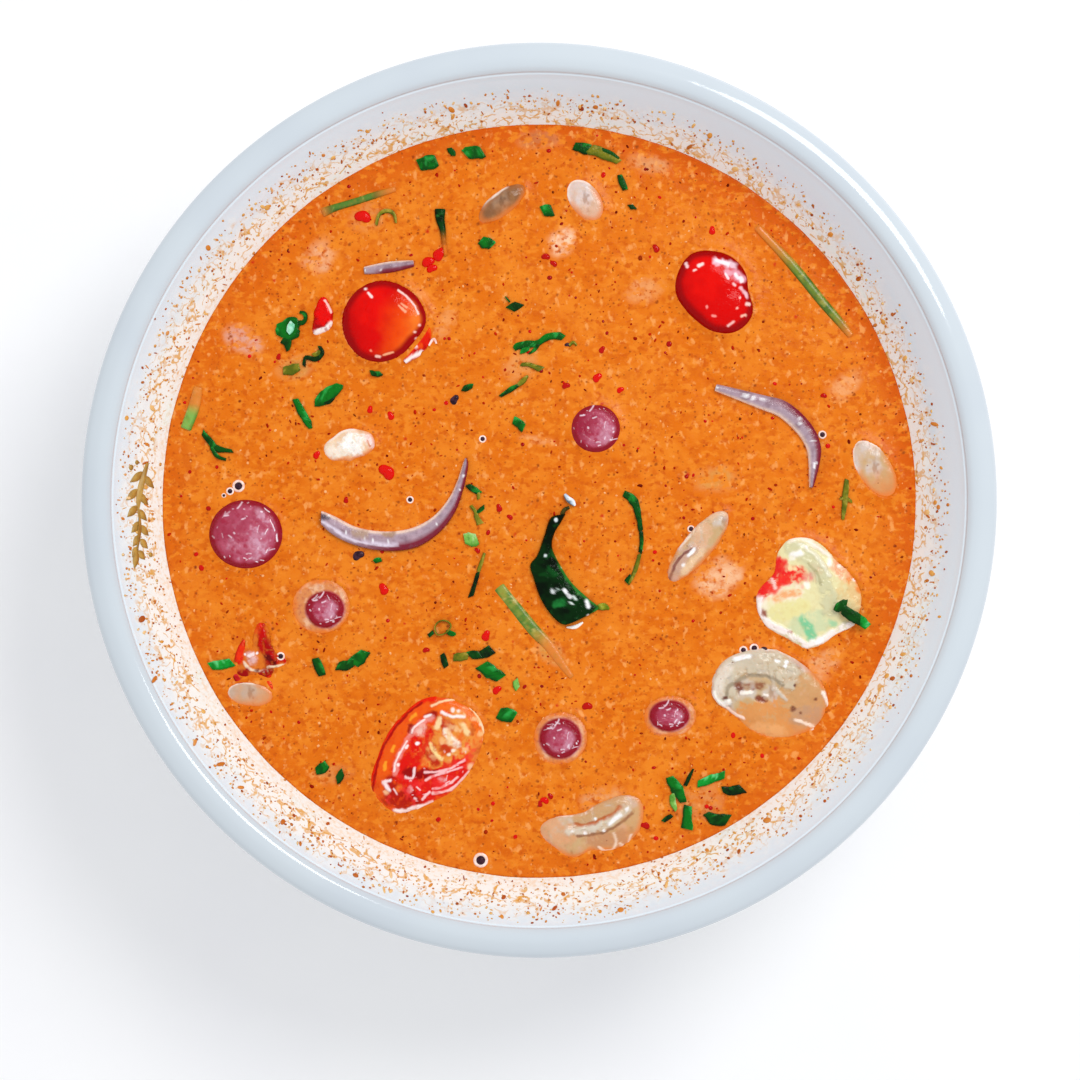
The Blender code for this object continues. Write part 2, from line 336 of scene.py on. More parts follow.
@dataclass(frozen=True)
class CoconutBroth(Finish):
    """Hot broth of coconut milk and chilli paste: opaque orange, with ground chilli and fat beads in it."""

    body: str = "#DE6E06"
    pale: str = "#E9831E"
    deep: str = "#CC5A02"
    fat: str = "#F4A458"
    ground: str = "#9A4206"
    dark_ground: str = "#761800"
    red_ground: str = "#C82806"
    # edge: a darker orange at the wall, partly oil and partly painted shadow of the rim, strongest toward the
    # upper right
    edge: str = "#D25400"

    def look(self, shade: Shade) -> Look:
        """Cloudy orange, sunk pieces showing through, then fat and ground spice on top."""
        colour = shade.coat(self.body, self.pale, shade.mask(shade.clouds(9, 4), 0.40, 0.66, 0.8))
        colour = shade.coat(colour, self.deep, shade.mask(shade.clouds(2.4, 4, shift=0.1), 0.45, 0.72, 0.6))
        # the band at the wall: oil, and painted shadow of the rim
        colour = shade.coat(colour, self.edge, shade.mark("rim"))
        cloud = shade.mask(shade.clouds(1.5, 3, shift=0.7), 0.15, 0.6)
        sunk = shade.product(shade.mark("under_amount"), cloud)
        colour = shade.coat(colour, shade.mark("under", "Color"), sunk)
        for ink, size, detail, stretch, shift, low, high, top in (
            (self.pale, 1.9, 5, (1, 1.5, 1), 0.4, 0.48, 0.66, 0.9),
            (self.fat, 2.2, 6, (1.4, 1, 1), 0.55, 0.57, 0.7, 0.7),
            (self.deep, 1.5, 5, (1, 1, 1), 0.9, 0.54, 0.68, 0.9),
            (self.ground, 1.0, 4, (1, 1.4, 1), 1.3, 0.64, 0.74, 0.75),
        ):
            patches = shade.mask(shade.clouds(size, detail, stretch, shift), low, high, top)
            colour = shade.coat(colour, ink, patches)
        for ink, spacing, radius, share, top in (
            (self.ground, 1.15, 0.36, 0.75, 0.85),
            (self.ground, 2.1, 0.5, 0.65, 0.9),
            (self.dark_ground, 3.3, 0.5, 0.55, 0.85),
            (self.red_ground, 4.6, 0.62, 0.45, 0.9),
        ):
            grains = shade.specks(spacing, radius, 0.7, share, 0.1 * spacing)
            colour = shade.coat(colour, ink, shade.product(grains, top))
        fine = shade.product(shade.clouds(0.5, 2), 0.3)
        return Look(colour, shade.combined("ADD", shade.clouds(1.6, 3, shift=0.6), fine), 0.12)


@dataclass(frozen=True)
class WetFlesh(Finish):
    """Cut vegetable wet with broth: its own painted colour, a little mottled, under a glossy film."""

    mottle: float = 1.4
    mottle_amount: float = 0.35
    mottle_hex: str = "#B05A20"
    rough_size: float = 0.7
    rough_depth: float = 0.06
    spice: float = 0.6

    def look(self, shade: Shade) -> Look:
        """The painted colour with soft mottling, grains of spice and a fine uneven gloss."""
        mottling = shade.mask(shade.clouds(self.mottle, 4), 0.45, 0.8, self.mottle_amount)
        colour = shade.coat(shade.mark("tint", "Color"), self.mottle_hex, mottling)
        grains = shade.product(shade.specks(2.4, 0.26, 0.6, 0.5, 0.17), self.spice)
        colour = shade.coat(colour, "#7A2A08", grains)
        return Look(colour, shade.clouds(self.rough_size, 3, shift=0.6), self.rough_depth)


@dataclass(frozen=True)
class Toned(Finish):
    """Small scattered things, each with its own tone between a few colours."""

    tones: tuple[str, ...] = ("#A03A08", "#E07A1E")

    def look(self, shade: Shade) -> Look:
        """One flat tone for each grain or drop, shaded a little by fine noise."""
        ramp = add_node(shade.tree, "ShaderNodeValToRGB", {0: shade.mark("tone")})
        stops = ramp.color_ramp.elements
        for index, code in enumerate(self.tones):
            place = index / (len(self.tones) - 1)
            stop = stops[index] if index < 2 else stops.new(place)
            stop.position, stop.color = place, rgba(code)
        colour = shade.coat(ramp.outputs[0], "#5A1E06", shade.mask(shade.clouds(0.5, 2), 0.5, 0.9, 0.3))
        return Look(colour, shade.clouds(0.4, 2), 0.03)


@dataclass(frozen=True)
class Plain(Finish):
    """An even surface with faint mottling and fine grain."""

    colour: str = "#FFFFFF"
    second: str = "#F4F4F4"
    grain: float = 3.0
    depth: float = 0.02

    def look(self, shade: Shade) -> Look:
        """Two close colours mixed by noise."""
        colour = shade.coat(self.colour, self.second, shade.mask(shade.clouds(self.grain, 3), 0.3, 0.7))
        return Look(colour, shade.clouds(self.grain, 2), self.depth)


# Glazed and fired: a cool white, hard and mirror-smooth.
GLAZE = Porcelain("glazed porcelain", roughness=0.09, ior=1.52)
# Oil and coconut fat on hot broth: soft, blurred highlights on an opaque orange.
BROTH = CoconutBroth("coconut broth", roughness=0.26, ior=1.35, gloss=0.2)
# Tight waxy skin under a film of oil: deep red with small sharp highlights.
TOMATO = WetFlesh(
    "wet tomato", roughness=0.1, ior=1.35, gloss=0.16, mottle=2.2, mottle_amount=0.2,
    mottle_hex="#B80000", rough_size=1.6, rough_depth=0.12, spice=0.15,
)
# Firm unripe flesh, cut: cream and pale green, only half glossy.
PALE_TOMATO = WetFlesh(
    "unripe tomato flesh", roughness=0.2, mottle=1.2, mottle_amount=0.2, mottle_hex="#CFA45A",
)
# Wet cut layers that let a little light through: mauve with fine sparkle.
SHALLOT = WetFlesh(
    "cut shallot", roughness=0.12, gloss=0.3, mottle=0.8, mottle_amount=0.4, mottle_hex="#9A1C38",
    rough_size=0.8, rough_depth=0.22, spice=0.3, under_light=0.08,
)
# Thin ribbed skin on clear flesh: grey-mauve with broken highlights.
ONION = WetFlesh(
    "red onion skin", roughness=0.16, mottle=0.9, mottle_amount=0.4, mottle_hex="#7A4A58", rough_size=0.6,
    rough_depth=0.14, spice=0.2,
)
# Slippery boiled mushroom: soft beige that light sinks into.
MUSHROOM = WetFlesh(
    "straw mushroom", roughness=0.2, mottle=1.6, mottle_amount=0.3, mottle_hex="#C08A54", rough_size=0.9,
    rough_depth=0.12, spice=0.7, under_light=0.08,
)
# Thin shiny skin: hard red with small highlights.
CHILLI = WetFlesh(
    "red chilli", roughness=0.12, gloss=0.16, mottle=1.0, mottle_amount=0.3, mottle_hex="#8A0404", spice=0.0,
)
# A waxy leaf with fine veins: almost black, with wet sparkle.
LEAF = WetFlesh(
    "makrut lime leaf", roughness=0.1, ior=1.33, gloss=0.14, mottle=1.3, mottle_amount=0.4,
    mottle_hex="#021402", rough_size=1.3, rough_depth=0.35, spice=0.0,
)
# Chopped and wilted in hot broth: limp, dark and wet.
GREENS = WetFlesh(
    "spring onion green", roughness=0.12, ior=1.33, gloss=0.22, mottle=0.7, mottle_amount=0.5,
    mottle_hex="#0A4A08", rough_size=0.5, rough_depth=0.12, spice=0.0,
)
# Long soaked stalk: dull olive with the broth's colour in it.
STALK = WetFlesh(
    "soaked herb stalk", roughness=0.25, mottle=1.0, mottle_amount=0.4, mottle_hex="#A87A1E", spice=0.5,
)
# Thin broth dried on glaze: flat spots from straw to rust.
SPLASH = Toned(
    "dried broth splash", roughness=0.3,
    tones=("#B04A10", "#DC8A34", "#E0A048", "#ECB868", "#F2CE96", "#D8842C", "#9A3408"),
)
# Dry pods, crushed: dull dark red and brown grains.
SPICE = Toned("ground chilli", roughness=0.5, gloss=0.08, tones=("#6A1000", "#A01400", "#C82000", "#7E3000"))
# Oil stained by chilli: round clear-red drops with a point of light.
OIL = Toned("chilli oil", roughness=0.08, gloss=0.2, tones=("#A80800", "#DC0A00", "#8A0602"))
# Fat that has split from coconut milk: small pale orange beads.
FAT = Toned("coconut fat bead", roughness=0.2, tones=("#EE9446", "#F6B070", "#E88A38"))
# A pale ring round each bubble: a painted highlight, the light that the bubble's curved skin reflects.
BUBBLE_HIGHLIGHT = Plain("bubble highlight", roughness=0.15, colour="#FFEDE6", second="#F2C2AE", grain=0.8)
# Near black and very glossy: the black beads, and the dark middle of each bubble, which is a painted
# reflection.
DARK_BEAD_AND_REFLECTION = Plain("dark bead and bubble reflection", roughness=0.08, gloss=0.15, colour="#4A2A38", second="#24101C", grain=0.8)
# Gold paint fired on glaze: flat ochre with a soft sheen.
LUSTRE = Plain("baked gold lustre", roughness=0.38, colour="#C49A48", second="#A8803A", grain=1.6)
# Painted board: matt white that takes a soft shadow.
TABLE = Plain("matt white table", roughness=0.9, colour="#FAFAFA", second="#F7F7F8", grain=60.0)


# Shapes.


def noise(x: Array, y: Array, size: float, seed: int = 0, octaves: int = 3) -> Array:
    """Smooth noise over the plane.

    Args:
        x: Places along X in millimetres.
        y: Places along Y in millimetres.
        size: The millimetres that its features are across.
        seed: Which pattern it is.
        octaves: How many finer layers it has.

    Returns:
        Values from about -1 to 1.
    """

    def corner(a: Array, b: Array) -> Array:
        """The random value at a grid corner."""
        spread = np.sin(a * 127.1 + b * 311.7 + seed * 74.7) * 43758.5453
        return (spread - np.floor(spread)) * 2 - 1

    total, weight, weights = 0.0, 1.0, 0.0
    for octave in range(octaves):
        across, up = x / size * 2**octave + octave * 7.3, y / size * 2**octave - octave * 3.1
        column, row = np.floor(across), np.floor(up)
        a, b = across - column, up - row
        a, b = a * a * (3 - 2 * a), b * b * (3 - 2 * b)
        low = corner(column, row) * (1 - a) + corner(column + 1, row) * a
        high = corner(column, row + 1) * (1 - a) + corner(column + 1, row + 1) * a
        total = total + weight * (low * (1 - b) + high * b)
        weights += weight
        weight *= 0.5
    return total / weights


def step(value: Array, low: float, high: float) -> Array:
    """A smooth 0 to 1 step between low and high, which may be given either way round."""
    share = np.clip((value - low) / (high - low), 0, 1)
    return share * share * (3 - 2 * share)


def resampled(values: Sequence, count: int, closed: bool = False) -> Array:
    """Even places on a smooth curve through the listed values.

    Args:
        values: Numbers or points that the curve passes through.
        count: How many places to return.
        closed: Whether the last value leads back to the first.

    Returns:
        The values there, one row each.
    """
    table = np.asarray(values, float)
    size = len(table)
    places = np.arange(count) * size / count if closed else np.linspace(0, size - 1, count)
    start = np.floor(places).astype(int)
    share = places - start
    if table.ndim > 1:
        share = share[:, None]
    picks = []
    for offset in (-1, 0, 1, 2):
        index = start + offset
        picks.append(table[index % size if closed else np.clip(index, 0, size - 1)])
    before, first, second, after = picks
    bend = 2 * before - 5 * first + 4 * second - after
    twist = 3 * (first - second) + after - before
    return first + 0.5 * share * (second - before + share * (bend + share * twist))


def oval(half_length: float, half_width: float, count: int = 12) -> tuple[float, ...]:
    """Reaches of an ellipse from its centre at even turns, starting along its length."""
    angles = np.arange(count) * math.tau / count
    across = np.hypot(half_width * np.cos(angles), half_length * np.sin(angles))
    return tuple(half_length * half_width / across)


def line_near(x: Array, y: Array, route: Sequence, count: int = 24) -> tuple[Array, Array]:
    """How far points are from a smooth line.

    Args:
        x: Places along X.
        y: Places along Y.
        route: The points that the line passes through.
        count: How many straight runs stand for it.

    Returns:
        The distance to the line, and the share of the way along it.
    """
    line = resampled(route, count + 1)
    nearest = np.full(x.shape, 1e9)
    share = np.zeros(x.shape)
    for index, (start, end) in enumerate(zip(line[:-1], line[1:])):
        run = end - start
        along = np.clip(((x - start[0]) * run[0] + (y - start[1]) * run[1]) / (run @ run), 0, 1)
        distance = np.hypot(x - start[0] - along * run[0], y - start[1] - along * run[1])
        closer = distance < nearest
        nearest = np.where(closer, distance, nearest)
        share = np.where(closer, (index + along) / count, share)
    return nearest, share


@dataclass
class Paint:
    """A colour for every point of a piece, laid on in coats."""

    tint: Array

    @classmethod
    def over(cls, shape: tuple[int, ...], code: str) -> "Paint":
        """Start with one colour everywhere."""
        return cls(np.tile(np.array(linear(code)), (*shape, 1)))

    def coat(self, code: str, mask: Array) -> "Paint":
        """Lay a colour on where the mask says."""
        self.tint += (np.array(linear(code)) - self.tint) * np.clip(mask, 0, 1)[..., None]
        return self


def placed(name: str, data: bpy.types.ID) -> Piece:
    """A new object in the scene, at the origin, that holds a mesh, a light or a camera."""
    made = bpy.data.objects.new(name, data)
    bpy.context.scene.collection.objects.link(made)
    return made


def new_piece(
    name: str,
    points: Array,
    faces: Faces,
    finish: Finish,
    marks: dict[str, Array] | None = None,
    mend: bool = False,
) -> Piece:
    """Make a smooth mesh piece.

    Args:
        name: The piece's name.
        points: Its points in millimetres, one row each.
        faces: Its faces by point number.
        finish: Its finish.
        marks: Named values or colours for each point.
        mend: Whether the faces still have to be turned to point outwards.

    Returns:
        The new object, at the origin.
    """
    mesh = bpy.data.meshes.new(name)
    mesh.from_pydata((points * MM).tolist(), [], faces)
    for label, values in (marks or {}).items():
        kind, key = ("FLOAT_COLOR", "color") if values.ndim == 2 else ("FLOAT", "value")
        if values.ndim == 2:
            values = np.column_stack((values, np.ones(len(values))))
        mesh.attributes.new(label, kind, "POINT").data.foreach_set(key, values.astype(np.float32).ravel())
    if mend:
        shape = bmesh.new()
        shape.from_mesh(mesh)
        bmesh.ops.recalc_face_normals(shape, faces=shape.faces)
        shape.to_mesh(mesh)
        shape.free()
    mesh.shade_smooth()
    mesh.materials.append(finish.material())
    return placed(name, mesh)


def ring_faces(rings: int, sides: int, first: int = 0, closed: bool = False) -> Faces:
    """Quads between neighbouring rings of points.

    Args:
        rings: How many rings there are.
        sides: How many points each has.
        first: The number of the first ring's first point.
        closed: Whether the last ring is joined to the first.

    Returns:
        The faces, outward where each ring runs counter-clockwise seen from the first ring's side.
    """
    faces = []
    for ring in range(rings if closed else rings - 1):
        near, far = first + ring * sides, first + (ring + 1) % rings * sides
        for side in range(sides):
            after = (side + 1) % sides
            faces.append((near + side, far + side, far + after, near + after))
    return faces


def capped_faces(rings: int, sides: int) -> Faces:
    """The faces of stacked rings closed by a pole at each end: the poles are the last two points."""
    faces = ring_faces(rings, sides)
    last, top = (rings - 1) * sides, rings * sides
    for side in range(sides):
        after = (side + 1) % sides
        faces.append((top, side, after))
        faces.append((last + after, last + side, top + 1))
    return faces


def joined(name: str, pieces: list[Piece]) -> Piece:
    """Join pieces of one kind to one object.

    Args:
        name: The name of the result.
        pieces: The objects, which are used up.

    Returns:
        The joined object.
    """
    with bpy.context.temp_override(active_object=pieces[0], selected_editable_objects=pieces):
        bpy.ops.object.join()
    pieces[0].name = pieces[0].data.name = name
    return pieces[0]


# What Geometry Nodes grow.


def new_tree(name: str, sizes: dict[str, str]) -> tuple[Nodes, dict[str, Socket]]:
    """Start a geometry node tree with named inputs.

    Args:
        name: The tree's name.
        sizes: What each named input holds, such as Float or Int.

    Returns:
        The tree's nodes, and its input sockets by name.
    """
    tree = bpy.data.node_groups.new(name, "GeometryNodeTree")
    for label, kind in {"Geometry": "Geometry", **sizes}.items():
        tree.interface.new_socket(label, in_out="INPUT", socket_type=f"NodeSocket{kind}")
    tree.interface.new_socket("Geometry", in_out="OUTPUT", socket_type="NodeSocketGeometry")
    sockets = add_node(tree, "NodeGroupInput").outputs
    return Nodes(tree), {socket.name: socket for socket in sockets if socket.name}


def close_tree(nodes: Nodes, shape: Socket, material: Socket) -> Tree:
    """End a tree in Realize Instances and Set Material.

    Args:
        nodes: The tree's nodes.
        shape: The geometry so far.
        material: The material input.

    Returns:
        The finished tree.
    """
    real = nodes.add("GeometryNodeRealizeInstances", {0: shape})
    smooth = nodes.add("GeometryNodeSetShadeSmooth", {0: real})
    dressed = nodes.add("GeometryNodeSetMaterial", {"Geometry": smooth, "Material": material})
    add_node(nodes.tree, "NodeGroupOutput", {0: dressed})
    return nodes.tree


def grown(name: str, ground: Piece, tree: Tree, values: dict[str, object]) -> Piece:
    """Grow a plain mesh piece from a ground mesh, which is used up.

    Args:
        name: The piece's name.
        ground: The mesh object that the tree works on.
        tree: The geometry node tree.
        values: The value of each named input.

    Returns:
        The new object, without a modifier.
    """
    modifier = ground.modifiers.new("Grow", "NODES")
    modifier.node_group = tree
    for item in tree.interface.items_tree:
        if item.in_out == "INPUT" and item.name in values:
            modifier[item.identifier] = values[item.name]
    graph = bpy.context.evaluated_depsgraph_get()
    mesh = bpy.data.meshes.new_from_object(ground.evaluated_get(graph))
    bpy.data.objects.remove(ground)
    mesh.name = name
    return placed(name, mesh)


class Grain(Enum):
    """The base shape that a scatter repeats: a coarse or fine ball, by its subdivisions, or a flat flake."""

    SPOT = 1
    DROP = 2
    FLAKE = 0


@dataclass(frozen=True)
class Scatter:
    """Many small things of one kind, strewn over a ground by Geometry Nodes.

    The ground's own "share" attribute, from 0 to 1, says how thick they lie.
    """

    name: str
    finish: Finish
    grain: Grain
    per_cm2: float
    smallest: float
    largest: float
    seed: int
    stretch: tuple[float, float, float] = (1.0, 1.0, 0.4)
    uneven: float = 0.35
    tilt: float = 0.0
    rare: float = 3.0
    upright: bool = False

    def tree(self) -> Tree:
        """Build the scatter's node tree.

        Returns:
            The tree, with its density, sizes, stretch, tilt, seed and material as inputs.
        """
        nodes, given = new_tree(self.name, {
            "Density": "Float", "Smallest": "Float", "Largest": "Float", "Stretch": "Vector", "Tilt": "Float",
            "Seed": "Int", "Material": "Material",
        })

        def chance(low: object, high: object, salt: int) -> Socket:
            """A random number, or a random vector, for each point: its own for each salt."""
            seed = nodes.add("ShaderNodeMath", {"operation": "ADD", 0: given["Seed"], 1: float(salt)})
            if isinstance(low, tuple):
                parts = {"data_type": "FLOAT_VECTOR", 0: low, 1: high, "Seed": seed}
                return nodes.add("FunctionNodeRandomValue", parts)
            parts = {"data_type": "FLOAT", 2: low, 3: high, "Seed": seed}
            return nodes.add("FunctionNodeRandomValue", parts, 1)

        share = nodes.add("GeometryNodeInputNamedAttribute", {"Name": "share"})
        density = nodes.combined("MULTIPLY", share, given["Density"])
        spread = add_node(nodes.tree, "GeometryNodeDistributePointsOnFaces", {
            "Mesh": given["Geometry"], "Density": density, "Seed": given["Seed"],
        }).outputs
        if self.grain is Grain.FLAKE:
            base = nodes.add("GeometryNodeMeshCylinder", {"Vertices": 7, "Radius": 1.0, "Depth": 1.0})
        else:
            base = nodes.add("GeometryNodeMeshIcoSphere", {"Radius": 1.0, "Subdivisions": self.grain.value})
        turn = spread["Rotation"]
        if self.upright:
            turn = nodes.add("FunctionNodeAlignRotationToVector", {"axis": "Z", "Vector": spread["Normal"]})
            turn = nodes.add("FunctionNodeAlignRotationToVector", {
                "axis": "Y", "pivot_axis": "Z", "Vector": (0.0, 0.0, 1.0), "Rotation": turn,
            })
        spin = 0.5 if self.upright else math.tau
        lean = nodes.add("ShaderNodeCombineXYZ", {"X": chance(-1.0, 1.0, 1), "Y": chance(-1.0, 1.0, 2)})
        lean = nodes.add("ShaderNodeVectorMath", {"operation": "SCALE", 0: lean, "Scale": given["Tilt"]})
        whirl = nodes.add("ShaderNodeCombineXYZ", {"Z": chance(-spin, spin, 3)})
        euler = nodes.add("ShaderNodeVectorMath", {0: lean, 1: whirl})
        turn = nodes.add("FunctionNodeRotateRotation", {
            "rotation_space": "LOCAL", "Rotation": turn, "Rotate By": euler,
        })
        rare = nodes.combined("POWER", chance(0.0, 1.0, 4), self.rare)
        size = nodes.add("ShaderNodeMapRange", {
            "Value": rare, "To Min": given["Smallest"], "To Max": given["Largest"],
        })
        scale = chance((1 - self.uneven,) * 3, (1 + self.uneven,) * 3, 5)
        scale = nodes.add("ShaderNodeVectorMath", {"operation": "MULTIPLY", 0: scale, 1: given["Stretch"]})
        scale = nodes.add("ShaderNodeVectorMath", {"operation": "SCALE", 0: scale, "Scale": size})
        strewn = nodes.add("GeometryNodeInstanceOnPoints", {
            "Points": spread["Points"], "Instance": base, "Rotation": turn, "Scale": scale,
        })
        toned = nodes.add("GeometryNodeStoreNamedAttribute", {
            "domain": "INSTANCE", "Name": "tone", "Geometry": strewn, "Value": chance(0.0, 1.0, 6),
        })
        return close_tree(nodes, toned, given["Material"])

    def strewn(self, ground: Piece) -> Piece:
        """Strew the things over a ground, which is used up.

        Args:
            ground: The mesh to strew them on.

        Returns:
            The finished piece.
        """
        return grown(self.name, ground, self.tree(), {
            "Density": self.per_cm2 * 1e4,
            "Smallest": self.smallest * MM,
            "Largest": self.largest * MM,
            "Stretch": self.stretch,
            "Tilt": math.radians(self.tilt),
            "Seed": self.seed,
            "Material": self.finish.material(),
        })


# The bowl.


@dataclass(frozen=True)
class Bowl:
    """A turned porcelain bowl with a rolled lip, a small step under it and a foot ring."""

    rim_radius: float = 95.0
    rim_height: float = 72.0
    lip_inner_radius: float = 88.7
    wall_top: tuple[float, float] = (88.2, 69.9)
    wall_pulls: tuple[tuple[float, float], ...] = ((62.0, 9.0), (68.2, 43.0))
    floor: tuple[float, float] = (30.0, 9.0)
    wall: float = 4.6
    underside: float = 4.2
    foot_outer: float = 45.0
    foot_inner: float = 40.0
    turns: int = 256
    wall_steps: int = 72

    def inner_wall(self) -> Array:
        """The inside's section (r, z), from the edge of the floor up to the step under the lip."""
        t = np.linspace(0, 1, self.wall_steps + 1)[:, None]
        corners = [np.array(c) for c in (self.floor, *self.wall_pulls, self.wall_top)]
        weights = ((1 - t) ** 3, 3 * (1 - t) ** 2 * t, 3 * (1 - t) * t**2, t**3)
        return sum(weight * corner for weight, corner in zip(weights, corners))

    def wall_radius(self, height: Array | float) -> Array:
        """The inside's radius at a height."""
        wall = self.inner_wall()
        return np.interp(height, wall[:, 1], wall[:, 0])

    def section(self) -> Array:
        """The whole section (r, z), counter-clockwise from the axis at the underside.

        Returns:
            One row for each point.
        """
        wall = self.inner_wall()
        along = np.gradient(wall, axis=0)
        along /= np.linalg.norm(along, axis=1)[:, None]
        outside = wall + self.wall * np.column_stack((along[:, 1], -along[:, 0]))
        outside = outside[(outside[:, 0] > self.foot_outer + 2.5) & (outside[:, 1] < self.rim_height - 9)]
        under, near, far = self.underside, self.foot_inner, self.foot_outer
        foot = [
            (0.0, under), (12.0, under), (26.0, under), (near - 2.2, under), (near - 0.9, under - 0.15),
            (near - 0.25, under - 0.7), (near, under - 1.5), (near + 0.9, 0.6), (near + 1.1, 0.15),
            (near + 1.6, 0.0), (far - 1.0, 0.0), (far - 0.4, 0.15), (far, 0.9), (far + 0.3, 3.6),
            (far + 0.45, 5.0), (far + 0.9, 6.1),
        ]
        rim, lip = self.rim_radius, self.lip_inner_radius
        lip = resampled([
            outside[-1], (rim - 3.4, 66.0), (rim - 0.9, 67.7), (rim, 69.5), (rim - 0.9, 71.2),
            (91.8, self.rim_height), (89.9, 71.75), (lip + 0.15, 71.0), (lip - 0.05, 70.45), (88.35, 70.2),
        ], 46)[1:]
        floor = [(x, self.floor[1]) for x in (26.0, 18.0, 9.0, 0.0)]
        return np.vstack((foot, outside, lip, wall[::-1], floor))

    def tree(self) -> Tree:
        """A tree that turns a section about the axis: a grid whose rows follow the section's points.

        Returns:
            The tree, with the number of turns and the material as inputs.
        """
        nodes, given = new_tree("Turned section", {"Turns": "Int", "Material": "Material"})

        rows = nodes.add("GeometryNodeAttributeDomainSize", {0: given["Geometry"]}, "Point Count")
        grid = nodes.add("GeometryNodeMeshGrid", {
            "Size X": 1.0, "Size Y": 1.0, "Vertices X": given["Turns"], "Vertices Y": rows,
        })
        place = nodes.add("GeometryNodeInputPosition")
        at = add_node(nodes.tree, "ShaderNodeSeparateXYZ", {0: place}).outputs
        angle = nodes.combined("MULTIPLY", nodes.combined("ADD", at[0], 0.5), math.tau)
        last = nodes.combined("SUBTRACT", rows, 1.0)
        row = nodes.combined("MULTIPLY", nodes.combined("ADD", at[1], 0.5), last)
        row = nodes.combined("ROUND", row, 0.0)
        picked = nodes.add("GeometryNodeSampleIndex", {
            "data_type": "FLOAT_VECTOR", "Geometry": given["Geometry"], "Value": place, "Index": row,
        }, "Value")
        section = add_node(nodes.tree, "ShaderNodeSeparateXYZ", {0: picked}).outputs
        turned = nodes.add("ShaderNodeCombineXYZ", {
            "X": nodes.combined("MULTIPLY", section[0], nodes.combined("COSINE", angle, 0.0)),
            "Y": nodes.combined("MULTIPLY", section[0], nodes.combined("SINE", angle, 0.0)),
            "Z": section[2],
        })
        moved = nodes.add("GeometryNodeSetPosition", {"Geometry": grid, "Position": turned})
        merged = nodes.add("GeometryNodeMergeByDistance", {"Distance": 1e-6, 0: moved})
        return close_tree(nodes, merged, given["Material"])

    def build(self) -> Piece:
        """Turn the bowl.

        Returns:
            The bowl, which stands for the CAD bowl.
        """
        section = self.section()
        points = np.column_stack((section[:, 0], np.zeros(len(section)), section[:, 1]))
        mesh = bpy.data.meshes.new("bowl_section")
        mesh.from_pydata((points * MM).tolist(), [(i, i + 1) for i in range(len(points) - 1)], [])
        sizes = {"Turns": self.turns + 1, "Material": GLAZE.material()}
        bowl = grown("porcelain_bowl", placed("bowl_section", mesh), self.tree(), sizes)
        place = np.zeros(len(bowl.data.vertices) * 3, np.float32)
        bowl.data.vertices.foreach_get("co", place)
        place = place.reshape(-1, 3) / MM
        radius = np.hypot(place[:, 0], place[:, 1])
        inside = (radius < self.wall_radius(place[:, 2]) + 0.5) & (place[:, 2] > self.floor[1] - 0.5)
        inside = inside * (1 - step(radius, self.lip_inner_radius - 0.3, self.lip_inner_radius + 0.4))
        mark = bowl.data.attributes.new("inside", "FLOAT", "POINT")
        mark.data.foreach_set("value", inside.astype(np.float32))
        return bowl

    def wall_patch(self, angles: Array, heights: Array, out: float = 0.0) -> Array:
        """Points on the inside at angles and heights, moved off the wall by a length.

        Args:
            angles: Angles in degrees.
            heights: Heights above the table.
            out: How far off the wall, towards the axis.

        Returns:
            The points, one row each.
        """
        wall = self.inner_wall()
        along = np.gradient(wall, axis=0)
        along /= np.linalg.norm(along, axis=1)[:, None]
        slant = np.interp(heights, wall[:, 1], along[:, 0]), np.interp(heights, wall[:, 1], along[:, 1])
        radius = self.wall_radius(heights) - out * slant[1]
        turn = np.radians(angles)
        return np.stack((radius * np.cos(turn), radius * np.sin(turn), heights + out * slant[0]), axis=-1)


@dataclass(frozen=True)
class Splashes:
    """What has splashed and dried on the wall above the soup: fine spots, drops, and short runs."""

    bowl: Bowl
    columns: int = 240
    rows: int = 16
    reach: float = 10.5
    lean: float = 2.2
    kinds: tuple[Scatter, ...] = (
        Scatter(
            "splash_spots", SPLASH, Grain.SPOT, 62.0, 0.13, 0.34, 3, (1.0, 1.3, 0.3), rare=1.8, upright=True,
        ),
        Scatter("splash_drops", SPLASH, Grain.DROP, 7.0, 0.26, 0.62, 8, (0.9, 1.6, 0.3), 0.4, upright=True),
        Scatter("splash_runs", SPLASH, Grain.DROP, 3.0, 0.14, 0.24, 15, (0.9, 3.6, 0.3), 0.4, upright=True),
    )

    def ground(self, seed: int) -> Piece:
        """The band of wall that the splashes reach, with how thick they lie.

        Args:
            seed: Which pattern of thick and thin patches it has.

        Returns:
            The band.
        """
        angles, heights = np.meshgrid(
            np.arange(self.columns) * 360 / self.columns, np.linspace(LEVEL + 0.4, LEVEL + 13, self.rows),
        )
        points = self.bowl.wall_patch(angles, heights, 0.02).reshape(-1, 3)
        turn = np.radians(angles.ravel())
        top = LEVEL + self.reach + self.lean * np.cos(turn - math.radians(225))
        low = step(points[:, 2], LEVEL + 1.5, LEVEL + 4.0)
        share = step(points[:, 2] - top, 1.5, -1.5) * (0.3 + 0.7 * low)
        patchy = noise(angles.ravel() * 1.4, points[:, 2], 4.0, seed)
        share = np.clip(share * (0.75 + 0.9 * patchy), 0, 1)
        faces = [f[::-1] for f in ring_faces(self.rows, self.columns)]
        return new_piece("splash_ground", points, faces, SPLASH, {"share": share})

    def build(self) -> list[Piece]:
        """Strew each kind of splash."""
        return [kind.strewn(self.ground(kind.seed)) for kind in self.kinds]


